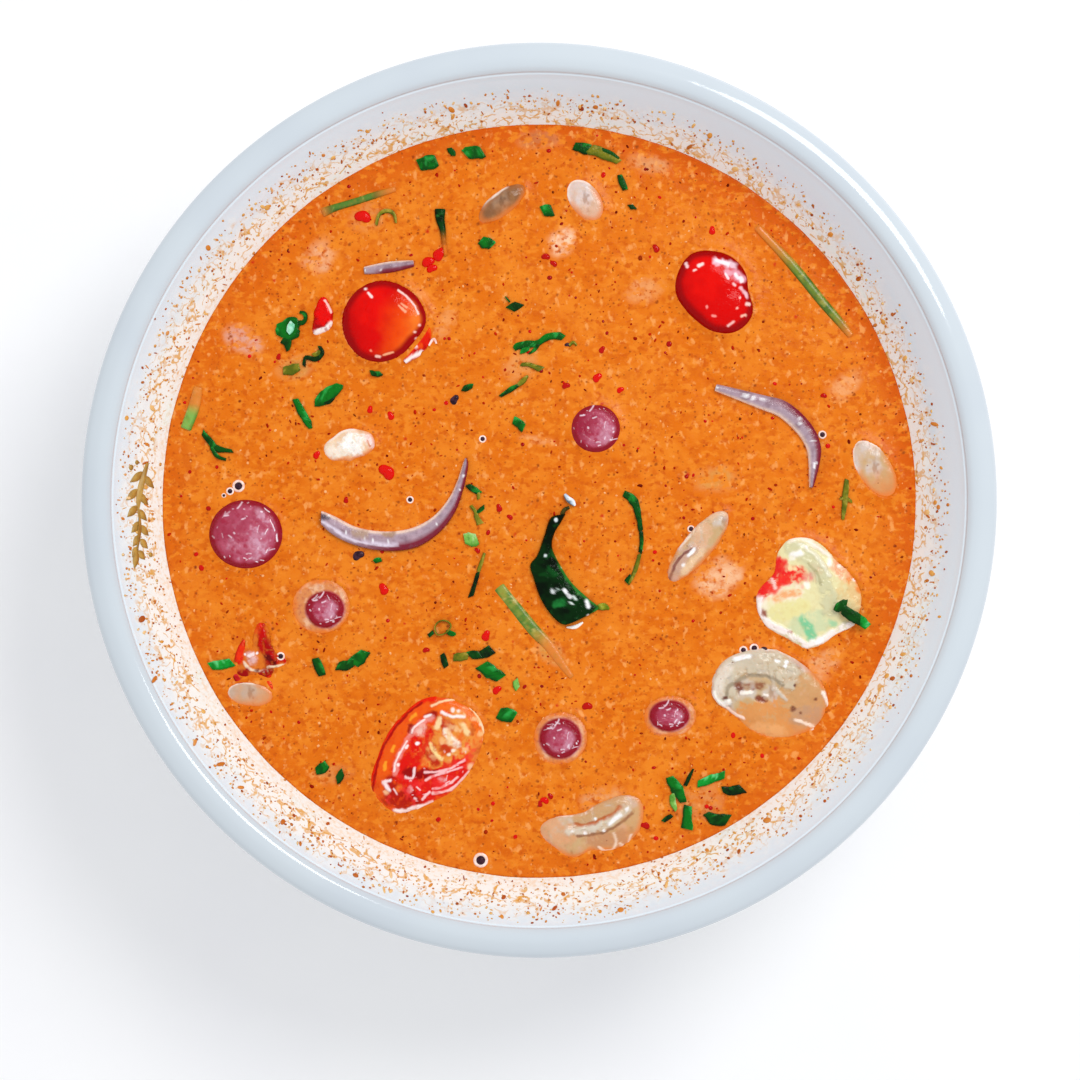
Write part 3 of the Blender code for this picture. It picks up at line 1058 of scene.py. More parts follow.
@dataclass(frozen=True)
class Sprig:
    """A plain leafy sprig in baked gold on the inside of the bowl: a stem, side leaves and three berries."""

    bowl: Bowl
    middle: float = 181.5
    length: float = 21.0
    low: float = LEVEL + 3.0
    high: float = LEVEL + 11.0
    thickness: float = 0.12

    def shape(self, outline: Array) -> tuple[Array, Faces]:
        """Lay a flat closed outline on the wall as a thin solid.

        Args:
            outline: Points (along the rim, up the wall) in millimetres from the sprig's middle.

        Returns:
            Its points and faces.
        """
        span = (self.high - self.low) / 9.0
        angles = self.middle + np.degrees(outline[:, 0] / 86.0)
        heights = (self.low + self.high) / 2 + outline[:, 1] * span
        faces = capped_faces(2, len(outline))
        rings = [self.bowl.wall_patch(angles, heights, out) for out in (self.thickness, -0.1)]
        middle = outline.mean(axis=0)
        poles = [self.bowl.wall_patch(
            np.array([self.middle + math.degrees(middle[0] / 86.0)]),
            np.array([(self.low + self.high) / 2 + middle[1] * span]), out,
        ) for out in (self.thickness, -0.1)]
        return np.vstack((*rings, *poles)), faces

    @staticmethod
    def leaf(x: float, y: float, turn: float, length: float, width: float) -> Array:
        """A pointed leaf's outline from its foot."""
        share = np.linspace(0, 1, 11)
        half = width / 2 * np.sin(np.pi * share**0.85)
        along = np.concatenate((share, share[-2:0:-1])) * length
        across = np.concatenate((half, -half[-2:0:-1]))
        cosine, sine = math.cos(math.radians(turn)), math.sin(math.radians(turn))
        return np.column_stack((x + along * cosine - across * sine, y + along * sine + across * cosine))

    def outlines(self) -> list[Array]:
        """The sprig's stem, leaves and berries as flat outlines."""
        half = self.length / 2
        stem = resampled([(-half, -2.2), (-half / 3, 0.2), (half / 3, -0.4), (half * 0.8, 1.2)], 26)
        thick = np.linspace(0.42, 0.18, 26)[:, None] * np.array([0.0, 1.0])
        found = [np.vstack((stem - thick, (stem + thick)[::-1]))]
        for index, place in enumerate(np.linspace(3, 23, 6)):
            x, y = stem[int(place)]
            size = 4.6 - 0.35 * index
            found.append(self.leaf(x, y, 58 - 3 * index, size, 1.7))
            found.append(self.leaf(x + 0.8, y, -52 + 3 * index, size * 0.92, 1.7))
        found.append(self.leaf(*stem[-1], 22, 4.0, 1.7))
        turn = np.arange(12) * math.tau / 12
        for x, y, size in ((-9.2, 2.4, 0.6), (-10.4, 0.9, 0.5), (9.6, -2.6, 0.55)):
            found.append(np.column_stack((x + size * np.cos(turn), y + size * np.sin(turn))))
        return found

    def build(self) -> Piece:
        """Make the sprig as one piece.

        Returns:
            The sprig.
        """
        points, faces, count = [], [], 0
        for outline in self.outlines():
            more, corners = self.shape(outline)
            points.append(more)
            faces += [tuple(index + count for index in face) for face in corners]
            count += len(more)
        return new_piece("gold_sprig", np.vstack(points), faces, LUSTRE, mend=True)


# Toppings that lie flat in the soup.


@dataclass
class Spot:
    """Where a topping's points lie: from its middle, from its edge, and round it."""

    x: Array
    y: Array
    share: Array
    angle: Array
    inset: Array

    def noise(self, size: float, seed: int, octaves: int = 3) -> Array:
        """Smooth noise there."""
        return noise(self.x, self.y, size, seed, octaves)

    def patches(self, size: float, seed: int, low: float, high: float) -> Array:
        """A mask of patches of noise, empty at the low value and full at the high one."""
        return step(self.noise(size, seed), low, high)

    def toward(self, side: float, reach: float = 1.0) -> Array:
        """How far the points are toward a side, given in degrees, in shares of a reach."""
        turn = math.radians(side)
        return (self.x * math.cos(turn) + self.y * math.sin(turn)) / reach


@dataclass(frozen=True)
class Stroke:
    """A painted line, or a dab where it has one point, given from a topping's middle."""

    colour: str
    width: float
    route: Route
    lift: float = 0.0
    amount: float = 0.9

    def mask(self, x: Array, y: Array) -> Array:
        """How much of the stroke each point gets: a line with wavy edges that breaks up where it is wide.

        Args:
            x: Places along X from the topping's middle.
            y: Places along Y from it.

        Returns:
            The mask.
        """
        bend = min(self.width, 1.2) * 0.35
        x, y = x + bend * noise(x, y, 1.3, 91), y + bend * noise(x, y, 1.3, 92)
        wobble = 0.24 * self.width * noise(x, y, 0.9, len(self.route) + 5) + 0.06 * noise(x, y, 0.5, 3)
        start = self.route[0]
        route = self.route if len(self.route) > 1 else (start, (start[0] + 0.01, start[1]))
        gap = line_near(x, y, route, 3 + 4 * (len(route) - 1))[0] + wobble
        soft = min(0.55 * self.width, 1.2)
        dry = 1 - 0.55 * step(noise(x, y, 0.8, 97), 0.15, 0.5) * step(self.width, 0.7, 1.4)
        return step(gap, self.width / 2 + soft / 2, self.width / 2 - soft / 2) * self.amount * dry


def points(text: str) -> Route:
    """Read a route: numbers with spaces between them, and a comma between points."""
    return tuple(tuple(float(number) for number in point.split()) for point in text.split(","))


def strokes_on(name: str) -> list[Stroke]:
    """The strokes painted on a piece.

    A row of its table holds a colour, a width, and maybe a lift and an amount, then routes with semicolons
    between them.

    Args:
        name: The piece's name.

    Returns:
        The strokes, in the order in which they are laid on.
    """
    found = []
    for row in STROKES.get(name, "").strip().splitlines():
        look, routes = row.split(":")
        colour, width, *more = look.split()
        for route in routes.split(";"):
            found.append(Stroke(colour, float(width), points(route), *map(float, more)))
    return found


def glints(x: Array, y: Array, reach: float, count: int, seed: int, near: float = 0.55) -> Array:
    """A mask of short wet glints that lie roughly along a round piece's rim.

    Args:
        x: Places along X from the piece's middle.
        y: Places along Y from it.
        reach: The piece's radius.
        count: How many glints there are.
        seed: Which pattern they make.
        near: The share of the radius where they begin.

    Returns:
        The mask.
    """
    picks = np.random.default_rng(seed).random((count, 5))
    mask = np.zeros(x.shape)
    for angle, far, long, turn, wide in picks:
        angle *= math.tau
        far = reach * (near + (0.93 - near) * math.sqrt(far))
        heading = angle + math.pi / 2 + (turn - 0.5) * 1.6
        across, up = x - far * math.cos(angle), y - far * math.sin(angle)
        along = across * math.cos(heading) + up * math.sin(heading)
        side = -across * math.sin(heading) + up * math.cos(heading)
        size = 0.10 + 0.16 * wide**2
        gap = np.hypot(np.clip(np.abs(along) - 0.1 - 0.7 * long**3, 0, None), side + 0.7 * along**2 / reach)
        mask = np.maximum(mask, step(gap, size, size * 0.3))
    return mask


@dataclass
class Slice:
    """A chunk or slice lying flat in the soup, given by its reach from the middle at even turns."""

    name: str
    centre: tuple[float, float]
    reaches: tuple[float, ...]
    height: float
    depth: float
    turn: float = 0.0
    slot: str = "mushroom"
    finish: Finish = MUSHROOM
    body: str = "#C8A878"
    edge: float = 4.0
    keel: float = 0.35
    film: float = 0.35
    rise: float = 0.5
    rings: int = 44
    sides: int = 144

    def reach(self, angle: Array) -> Array:
        """How far the edge is from the middle at angles in radians from +X."""
        dense = resampled(self.reaches, 360, closed=True)
        place = (np.asarray(angle) - math.radians(self.turn)) % math.tau / math.tau * 360
        return np.interp(place, np.arange(361), np.append(dense, dense[0]))

    def edge_gap(self, x: Array, y: Array) -> Array:
        """How far points are outside the edge at soup level, negative inside."""
        across, up = x - self.centre[0], y - self.centre[1]
        return np.hypot(across, up) - self.reach(np.arctan2(up, across))

    def dome(self, spot: Spot) -> Array:
        """The rounded top before its own relief, above the soup level."""
        return self.height * np.sqrt(np.clip(1 - spot.share**self.edge, 0, 1))

    def relief(self, spot: Spot) -> Array:
        """The top's height above the soup level."""
        return self.dome(spot) + 0.12 * spot.noise(3.0, 5) * step(spot.inset, 0, 1.5)

    def paint(self, spot: Spot) -> Paint:
        """The top's colours under the strokes: one colour, unless a kind of slice has its own."""
        return Paint.over(spot.x.shape, self.body)

    def top_coats(self, spot: Spot, paint: Paint) -> None:
        """Colours over the strokes: none, unless a kind of slice has its own."""

    def build(self) -> Piece:
        """Make the topping as one closed solid, coloured point by point.

        Returns:
            The piece, which stands for its CAD node.
        """
        share = np.sin(np.linspace(0, 1, self.rings + 1) * math.pi / 2)
        angle = np.arange(self.sides) * math.tau / self.sides
        share, angle = np.meshgrid(share, angle, indexing="ij")
        reach = self.reach(angle)
        distance = share * reach
        spot = Spot(distance * np.cos(angle), distance * np.sin(angle), share, angle, reach - distance)
        height = self.relief(spot)
        paint = self.paint(spot)
        for stroke in strokes_on(self.name):
            mask = stroke.mask(spot.x, spot.y)
            paint.coat(stroke.colour, mask)
            height += stroke.lift * mask
        self.top_coats(spot, paint)
        if self.film:
            paint.coat(BROTH_HEX, np.exp(-np.clip(height, 0, 9) / self.film) * 0.9)
        top = np.stack((self.centre[0] + spot.x, self.centre[1] + spot.y, LEVEL + height), axis=-1)
        tint = paint.tint
        skirt = []
        for drop in (0.25, 0.6, 1.0):
            ring = top[-1].copy()
            ring[:, :2] = self.centre + (ring[:, :2] - self.centre) * (1 - self.keel * drop**2)
            ring[:, 2] = LEVEL - self.depth * drop
            skirt.append(ring)
        rings = np.concatenate((top[1:], skirt))
        colours = np.concatenate((tint[1:], [tint[-1]] * len(skirt)))
        bottom = (*self.centre, LEVEL - self.depth)
        points = np.vstack((rings.reshape(-1, 3), top[0].mean(axis=0), bottom))
        colours = np.vstack((colours.reshape(-1, 3), tint[0].mean(axis=0), tint[-1].mean(axis=0)))
        faces = capped_faces(len(rings), self.sides)
        made = new_piece(f"{self.name}_look", points, faces, self.finish, {"tint": colours})
        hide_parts(self.name)
        return made


@dataclass
class TomatoCap(Slice):
    """A cherry tomato's domed end: shiny red skin with painted shade round the edge and toward the left, and
    broth over one side.
    """

    slot: str = "tomato"
    finish: Finish = TOMATO
    body: str = "#D60200"
    # rim: painted shade, the dark red round the edge and toward the left
    rim: str = "#9C0002"
    washed: str = "#EE5608"
    wash_from: float = -45.0
    wash: float = 0.0
    edge: float = 3.0
    film: float = 0.12
    rise: float = 0.9
    rings: int = 64
    sides: int = 200

    def relief(self, spot: Spot) -> Array:
        """A smooth dome with soft dents."""
        return self.dome(spot) + 0.22 * spot.noise(5.0, 3, 2) * step(spot.inset, 0.3, 2.5)

    def paint(self, spot: Spot) -> Paint:
        """Bright red, painted shade toward the left and round the rim, and a wash of broth on one side."""
        paint = Paint.over(spot.x.shape, self.body)
        wobble = spot.noise(4.0, 9)
        paint.coat("#EA0C02", step(wobble, 0.0, 0.6) * 0.6)
        # painted shade: darker toward the left
        paint.coat(self.rim, step(spot.x + wobble, -3.0, -9.5) * 0.6)
        toward = spot.toward(self.wash_from) + 2.0 * wobble
        paint.coat(self.washed, step(toward, -1.0, 6.0) * self.wash)
        paint.coat("#F48A2E", step(toward, 3.5, 7.5) * self.wash * 0.6)
        # painted shade: the dark rim round the edge
        paint.coat(self.rim, step(spot.inset + 0.4 * wobble, 2.3, 1.0))
        return paint


@dataclass
class ShallotSlice(Slice):
    """A slice of red shallot: a crimson outer skin round mauve-pink rings, with pale streaks and short glints
    that are painted highlights.
    """

    slot: str = "shallot"
    finish: Finish = SHALLOT
    body: str = "#B65068"
    rim: str = "#90001C"
    rim_width: float = 1.9
    rings: int = 64
    sides: int = 200
    core: float = 1.0
    deep_side: float = 130.0
    deep: float = 0.6
    streaks: float = 0.8
    film: float = 0.15
    ring_gap: float = 1.15
    centre_shift: tuple[float, float] = (0.0, 0.0)

    def core_inset(self, spot: Spot) -> Array:
        """How far points are inside the edge of the solid core."""
        x, y = spot.x - self.centre_shift[0], spot.y - self.centre_shift[1]
        return self.core * (spot.inset + np.hypot(spot.x, spot.y)) - np.hypot(x, y)

    def relief(self, spot: Spot) -> Array:
        """Low rings that step down outside the core."""
        inside = self.core_inset(spot)
        core = step(inside, -0.5, 0.5) if self.core < 1 else 1.0
        low = 0.45 * self.height * np.sqrt(np.clip(1 - spot.share**4, 0, 1))
        rings = 0.05 * np.cos(inside / self.ring_gap * math.tau) * step(inside, 0.2, 1.2)
        dents = 0.16 * spot.noise(2.2, 11) * step(inside, 0, 1)
        return low + (self.dome(spot) - low) * core + rings + dents

    def paint(self, spot: Spot) -> Paint:
        """Mauve face, crimson on one side, pale streaks and glints that are painted highlights, and the dark
        skin.
        """
        inside = self.core_inset(spot)
        paint = Paint.over(spot.x.shape, self.body)
        toward = spot.toward(self.deep_side, max(self.reaches))
        paint.coat("#CC8CA0", spot.patches(2.6, 14, -0.1, 0.5) * step(toward, 0.5, -0.2) * 0.7)
        paint.coat("#960C30", step(toward + 0.6 * spot.noise(2.2, 2), -0.1, 0.7) * self.deep)
        grain = spot.noise(1.3, 4)
        # painted highlights: pale streaks, mostly on the side away from the crimson
        bright = step(toward, 0.7, -0.4) * self.streaks
        paint.coat("#D6A0B4", step(grain, 0.15, 0.55) * bright * 0.8)
        paint.coat("#A01234", step(grain, -0.2, -0.55) * 0.7)
        ragged = inside + 0.4 * spot.noise(1.6, 6)
        paint.coat(self.rim, step(ragged, self.rim_width, self.rim_width * 0.4) * step(ragged, -0.4, 0.1))
        x, y = spot.x - self.centre_shift[0], spot.y - self.centre_shift[1]
        reach = self.core * min(self.reaches)
        # painted highlights: short glints near the rim of the core, and more over the whole face below
        specks = glints(x, y, reach, int(self.streaks * 3.4 * reach), int(reach * 10), 0.4)
        paint.coat("#FFF0FA", specks * (0.35 + 0.65 * bright))
        paint.coat("#F4D8E4", glints(x, y, reach, 14, 9, 0.1) * 0.8)
        if self.core < 1:
            veil = step(inside, 0.1, -0.7)
            paint.coat("#DA8A50", veil)
            paint.coat("#EEC09A", veil * spot.patches(1.5, 8, 0.05, 0.5) * 0.8)
            paint.coat(BROTH_HEX, veil * step(spot.inset + 0.8 * spot.noise(2.4, 18), 1.7, 0.2))
        return paint


@dataclass
class MushroomSlice(Slice):
    """A slice of straw mushroom: pale grey-beige, clear at its thin side, with broth over its low part."""

    low_side: float = -60.0
    low: float = 0.6
    grey: str = "#D0C6BC"
    dark: str = "#8A5A34"
    light: str = "#FFF6EA"
    light_side: float = 120.0
    fold: float = 0.35

    def relief(self, spot: Spot) -> Array:
        """A soft folded top that sinks toward its low side."""
        folds = self.fold * spot.noise(2.6, 21, 2) * step(spot.inset, 0, 1.2)
        sunk = 1 - 0.75 * self.low * step(spot.toward(self.low_side, max(self.reaches)), -0.2, 0.9)
        return (self.dome(spot) + folds) * sunk

    def paint(self, spot: Spot) -> Paint:
        """Beige with a grey face, dark folds, a pale edge toward the light and broth on the low side."""
        paint = Paint.over(spot.x.shape, self.body)
        toward = spot.toward(self.low_side, max(self.reaches))
        wobble = spot.noise(2.4, 13)
        paint.coat(self.grey, step(wobble - toward, -0.1, 0.7))
        paint.coat(self.dark, spot.patches(1.8, 17, 0.25, 0.6) * 0.5)
        paint.coat("#E08438", step(toward + 0.4 * wobble, 0.0, 0.8) * self.low)
        paint.coat(BROTH_HEX, step(spot.inset + 0.5 * wobble, 1.9, 0.2) * step(toward, -0.5, 0.3) * 0.8)
        facing = np.cos(spot.angle - math.radians(self.light_side))
        paint.coat(self.light, step(spot.inset, 0.9, 0.35) * step(facing + 0.4 * wobble, 0.3, 0.9) * 0.9)
        return paint


@dataclass
class Chunk(Slice):
    """A ragged piece of chilli skin."""

    slot: str = "chilli"
    finish: Finish = CHILLI
    body: str = "#B80A08"
    film: float = 0.1
    second: str = "#7A0406"

    def paint(self, spot: Spot) -> Paint:
        """Red with darker blotches."""
        paint = Paint.over(spot.x.shape, self.body)
        paint.coat(self.second, spot.patches(2.2, 31, -0.1, 0.5))
        return paint


@dataclass
class TomatoWedge(Slice):
    """A cut tomato: a skin line, a wall of flesh, pale ribs between red hollows, and seeds in their jelly."""

    slot: str = "tomato"
    finish: Finish = TOMATO
    body: str = "#E8480E"
    film: float = 0.25
    rings: int = 84
    sides: int = 300

    def top_coats(self, spot: Spot, paint: Paint) -> None:
        """Mottle the jelly on the right and add wet glints to the red hollows."""
        jelly = step(spot.x - 0.8 * spot.y, -3.0, 1.0) * step(spot.y, -2.0, 1.5)
        grain = spot.noise(1.6, 101)
        paint.coat("#F6C488", step(grain, 0.12, 0.5) * jelly * 0.75)
        paint.coat("#BE4410", step(grain, -0.15, -0.5) * jelly * 0.7)
        hollow = step(spot.y - 0.5 * spot.x, 0.5, -1.5) * step(spot.inset, 0.8, 1.6)
        paint.coat("#F03030", spot.patches(1.4, 103, 0.1, 0.5) * hollow * 0.6)
        paint.coat("#FFDCDC", glints(spot.x, spot.y, 11.0, 34, 5, 0.2) * hollow * 0.8)


@dataclass
class TomatoPale(Slice):
    """An unripe tomato chunk: cream and pale green flesh with one red corner, and a white band along its
    lower edge that is a painted highlight.
    """

    slot: str = "pale_tomato"
    finish: Finish = PALE_TOMATO
    body: str = "#E6DDA8"
    film: float = 0.15
    rings: int = 60
    sides: int = 180


# Long pieces.


@dataclass
class Ribbon:
    """A long or small flat piece of rounded section that follows a route over the soup.

    Its line is X, Y and width at each point, with commas between points. Where it has edges, they give
    X and Y of its left edge and of its right edge instead.
    """

    name: str
    line: str
    thickness: float
    lift: float
    finish: Finish = GREENS
    body: str = "#1E8A2C"
    dark: str = "#0A4A12"
    light: str = "#6ACB6A"
    ends: str = ""
    sunk: tuple[float, float] = (0.0, 0.0)
    closed: bool = False
    slant: float = 0.0
    edges: str = ""
    ragged: float = 0.0
    squareness: float = 0.75
    steps: int = 0
    sides: int = 20
    level: float = LEVEL

    def frame(self) -> tuple[Array, Array, Array]:
        """Where the piece runs.

        Returns:
            The middle line, the sideways direction and the width at each step.
        """
        if self.edges:
            edges = resampled(points(self.edges), self.steps)
            left, right = edges[:, :2], edges[:, 2:]
            width = np.linalg.norm(left - right, axis=1)
            return (left + right) / 2, (left - right) / (width[:, None] + 1e-9), width
        route = points(self.line)
        length = sum(math.dist(a[:2], b[:2]) for a, b in zip(route, route[1:]))
        table = resampled(route, max(10, int(length / 0.35)), self.closed)
        line, width = table[:, :2], table[:, 2]
        if self.closed:
            along = np.roll(line, -1, axis=0) - np.roll(line, 1, axis=0)
        else:
            along = np.gradient(line, axis=0)
        along /= np.linalg.norm(along, axis=1)[:, None] + 1e-9
        return line, np.column_stack((-along[:, 1], along[:, 0])), width

    def paint(self, along: Array, across: Array, top: Array, x: Array, y: Array) -> Paint:
        """The piece's colours, with painted shade along the right edge and painted highlights on faces turned
        up.

        Args:
            along: Shares of the way along the route.
            across: From -1 at the right edge to 1 at the left.
            top: How far up the section's face is turned.
            x: Places along X.
            y: Places along Y.

        Returns:
            The paint.
        """
        paint = Paint.over(along.shape, self.body)
        paint.coat(self.dark, step(noise(x, y, 1.5, 41), -0.1, 0.4) * 0.8)
        # painted shade: darker along the right edge
        paint.coat(self.dark, step(across, -0.45, -0.85) * 0.8)
        # painted highlight on the faces turned up
        gleam = step(noise(x, y, 1.1, 43) + 0.3 * across, 0.25, 0.5) * step(top, 0.2, 0.7)
        paint.coat(self.light, gleam * 0.75)
        if self.ends:
            paint.coat(self.ends, step(np.abs(along - 0.5), 0.4, 0.5))
        low, high = self.sunk
        if low:
            paint.coat(BROTH_HEX, step(along, low + 0.2, low - 0.1) * 0.85)
        if high:
            paint.coat(BROTH_HEX, step(along, 1 - high - 0.2, 1 - high + 0.1) * 0.85)
        return paint

    def build(self) -> Piece:
        """Sweep the piece as one closed solid, coloured point by point.

        Returns:
            The piece.
        """
        line, side, width = self.frame()
        count = len(line)
        turn = np.arange(self.sides) * math.tau / self.sides
        share = np.arange(count) / count if self.closed else np.linspace(0, 1, count)
        along, turn = np.meshgrid(share, turn, indexing="ij")
        ease = np.ones(count)
        if not self.closed:
            ends = np.minimum(np.arange(count), np.arange(count)[::-1]) / 1.5
            ease = np.sqrt(np.clip(1 - (1 - np.clip(ends + 0.25, 0, 1)) ** 2, 0.05, 1))
        across = np.sign(np.cos(turn)) * np.abs(np.cos(turn)) ** self.squareness
        up = -np.sin(turn) * np.abs(np.sin(turn)) ** (self.squareness - 0.99)
        blunt = 0.9 if self.slant else 0.6
        half = (width / 2 * (blunt + (1 - blunt) * ease))[:, None]
        half = half * (1 + self.ragged * noise(line[:, :1] + 9 * np.sign(across), line[:, 1:], 1.1, 77))
        shear = self.slant * half * across
        x = line[:, :1] + side[:, :1] * half * across + side[:, 1:] * shear
        y = line[:, 1:] + side[:, 1:] * half * across - side[:, :1] * shear
        height = self.lift + self.thickness / 2 * up * ease[:, None]
        paint = self.paint(along, across, up, x, y)
        for stroke in strokes_on(self.name):
            mask = stroke.mask(x, y) * step(up, 0.0, 0.3)
            paint.coat(stroke.colour, mask)
            height = height + stroke.lift * mask
        skin = np.stack((x, y, self.level + height), axis=-1).reshape(-1, 3)
        tint = paint.tint.reshape(-1, 3)
        if self.closed:
            faces = ring_faces(count, self.sides, closed=True)
        else:
            faces = capped_faces(count, self.sides)
            ends = skin.reshape(count, self.sides, 3)[[0, -1]].mean(axis=1)
            skin = np.vstack((skin, ends))
            tint = np.vstack((tint, tint[0], tint[-1]))
        return new_piece(f"{self.name}_look", skin, faces, self.finish, {"tint": tint}, mend=True)

    def stand_for_cad(self, slot: str) -> Piece:
        """Build the piece in place of its CAD node.

        Args:
            slot: Not used.

        Returns:
            The piece.
        """
        made = self.build()
        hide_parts(self.name)
        return made


@dataclass
class OnionStrip(Ribbon):
    """A strip of red onion on its edge: mauve-grey flesh, a painted highlight along its upper edge and a
    purple-red lower skin.
    """

    finish: Finish = ONION
    body: str = "#A8909C"
    dark: str = "#7A0628"
    light: str = "#F8DCC8"
    skin_side: float = -1.0

    def paint(self, along: Array, across: Array, top: Array, x: Array, y: Array) -> Paint:
        """Mauve-grey, with sparkles along the middle, a pale line on one edge that is a painted highlight,
        and the skin on the other.
        """
        paint = Paint.over(along.shape, self.body)
        paint.coat("#B79AA6", step(noise(x, y, 1.1, 51), 0.0, 0.5) * 0.8)
        paint.coat("#74505C", step(noise(x, y, 1.6, 53), 0.1, 0.6) * 0.6)
        edge = across * self.skin_side
        paint.coat(self.dark, step(edge, 0.05, 0.5) * step(along, 0.15, 0.4))
        # painted highlight: the pale line along the edge away from the skin
        paint.coat(self.light, step(-edge, 0.55, 0.85) * 0.9)
        sparks = step(noise(x, y, 0.8, 57, 2), 0.4, 0.55) * step(top, 0.3, 0.8)
        paint.coat("#FFFFFF", sparks * step(np.abs(edge - 0.1), 0.5, 0.2) * 0.9)
        return paint


@dataclass
class Leaf(Ribbon):
    """A folded, glossy makrut lime leaf: nearly black, green along its right edge."""

    def paint(self, along: Array, across: Array, top: Array, x: Array, y: Array) -> Paint:
        """Black-green, mottled, with a lit right edge."""
        paint = Paint.over(along.shape, self.body)
        paint.coat(self.dark, step(noise(x, y, 2.6, 81), -0.2, 0.3) * 0.9)
        paint.coat(self.light, step(noise(x, y, 1.3, 83), 0.2, 0.5) * 0.6)
        lit = step(across + 0.3 * noise(x, y, 1.6, 85), 0.72, 0.98)
        paint.coat("#3A8A34", lit * step(along, 0.3, 0.5) * 0.8)
        return paint


# The soup.


@dataclass(frozen=True)
class Sunken:
    """A pale piece just under the surface."""

    centre: tuple[float, float]
    half_length: float
    half_width: float
    turn: float
    colour: str
    amount: float


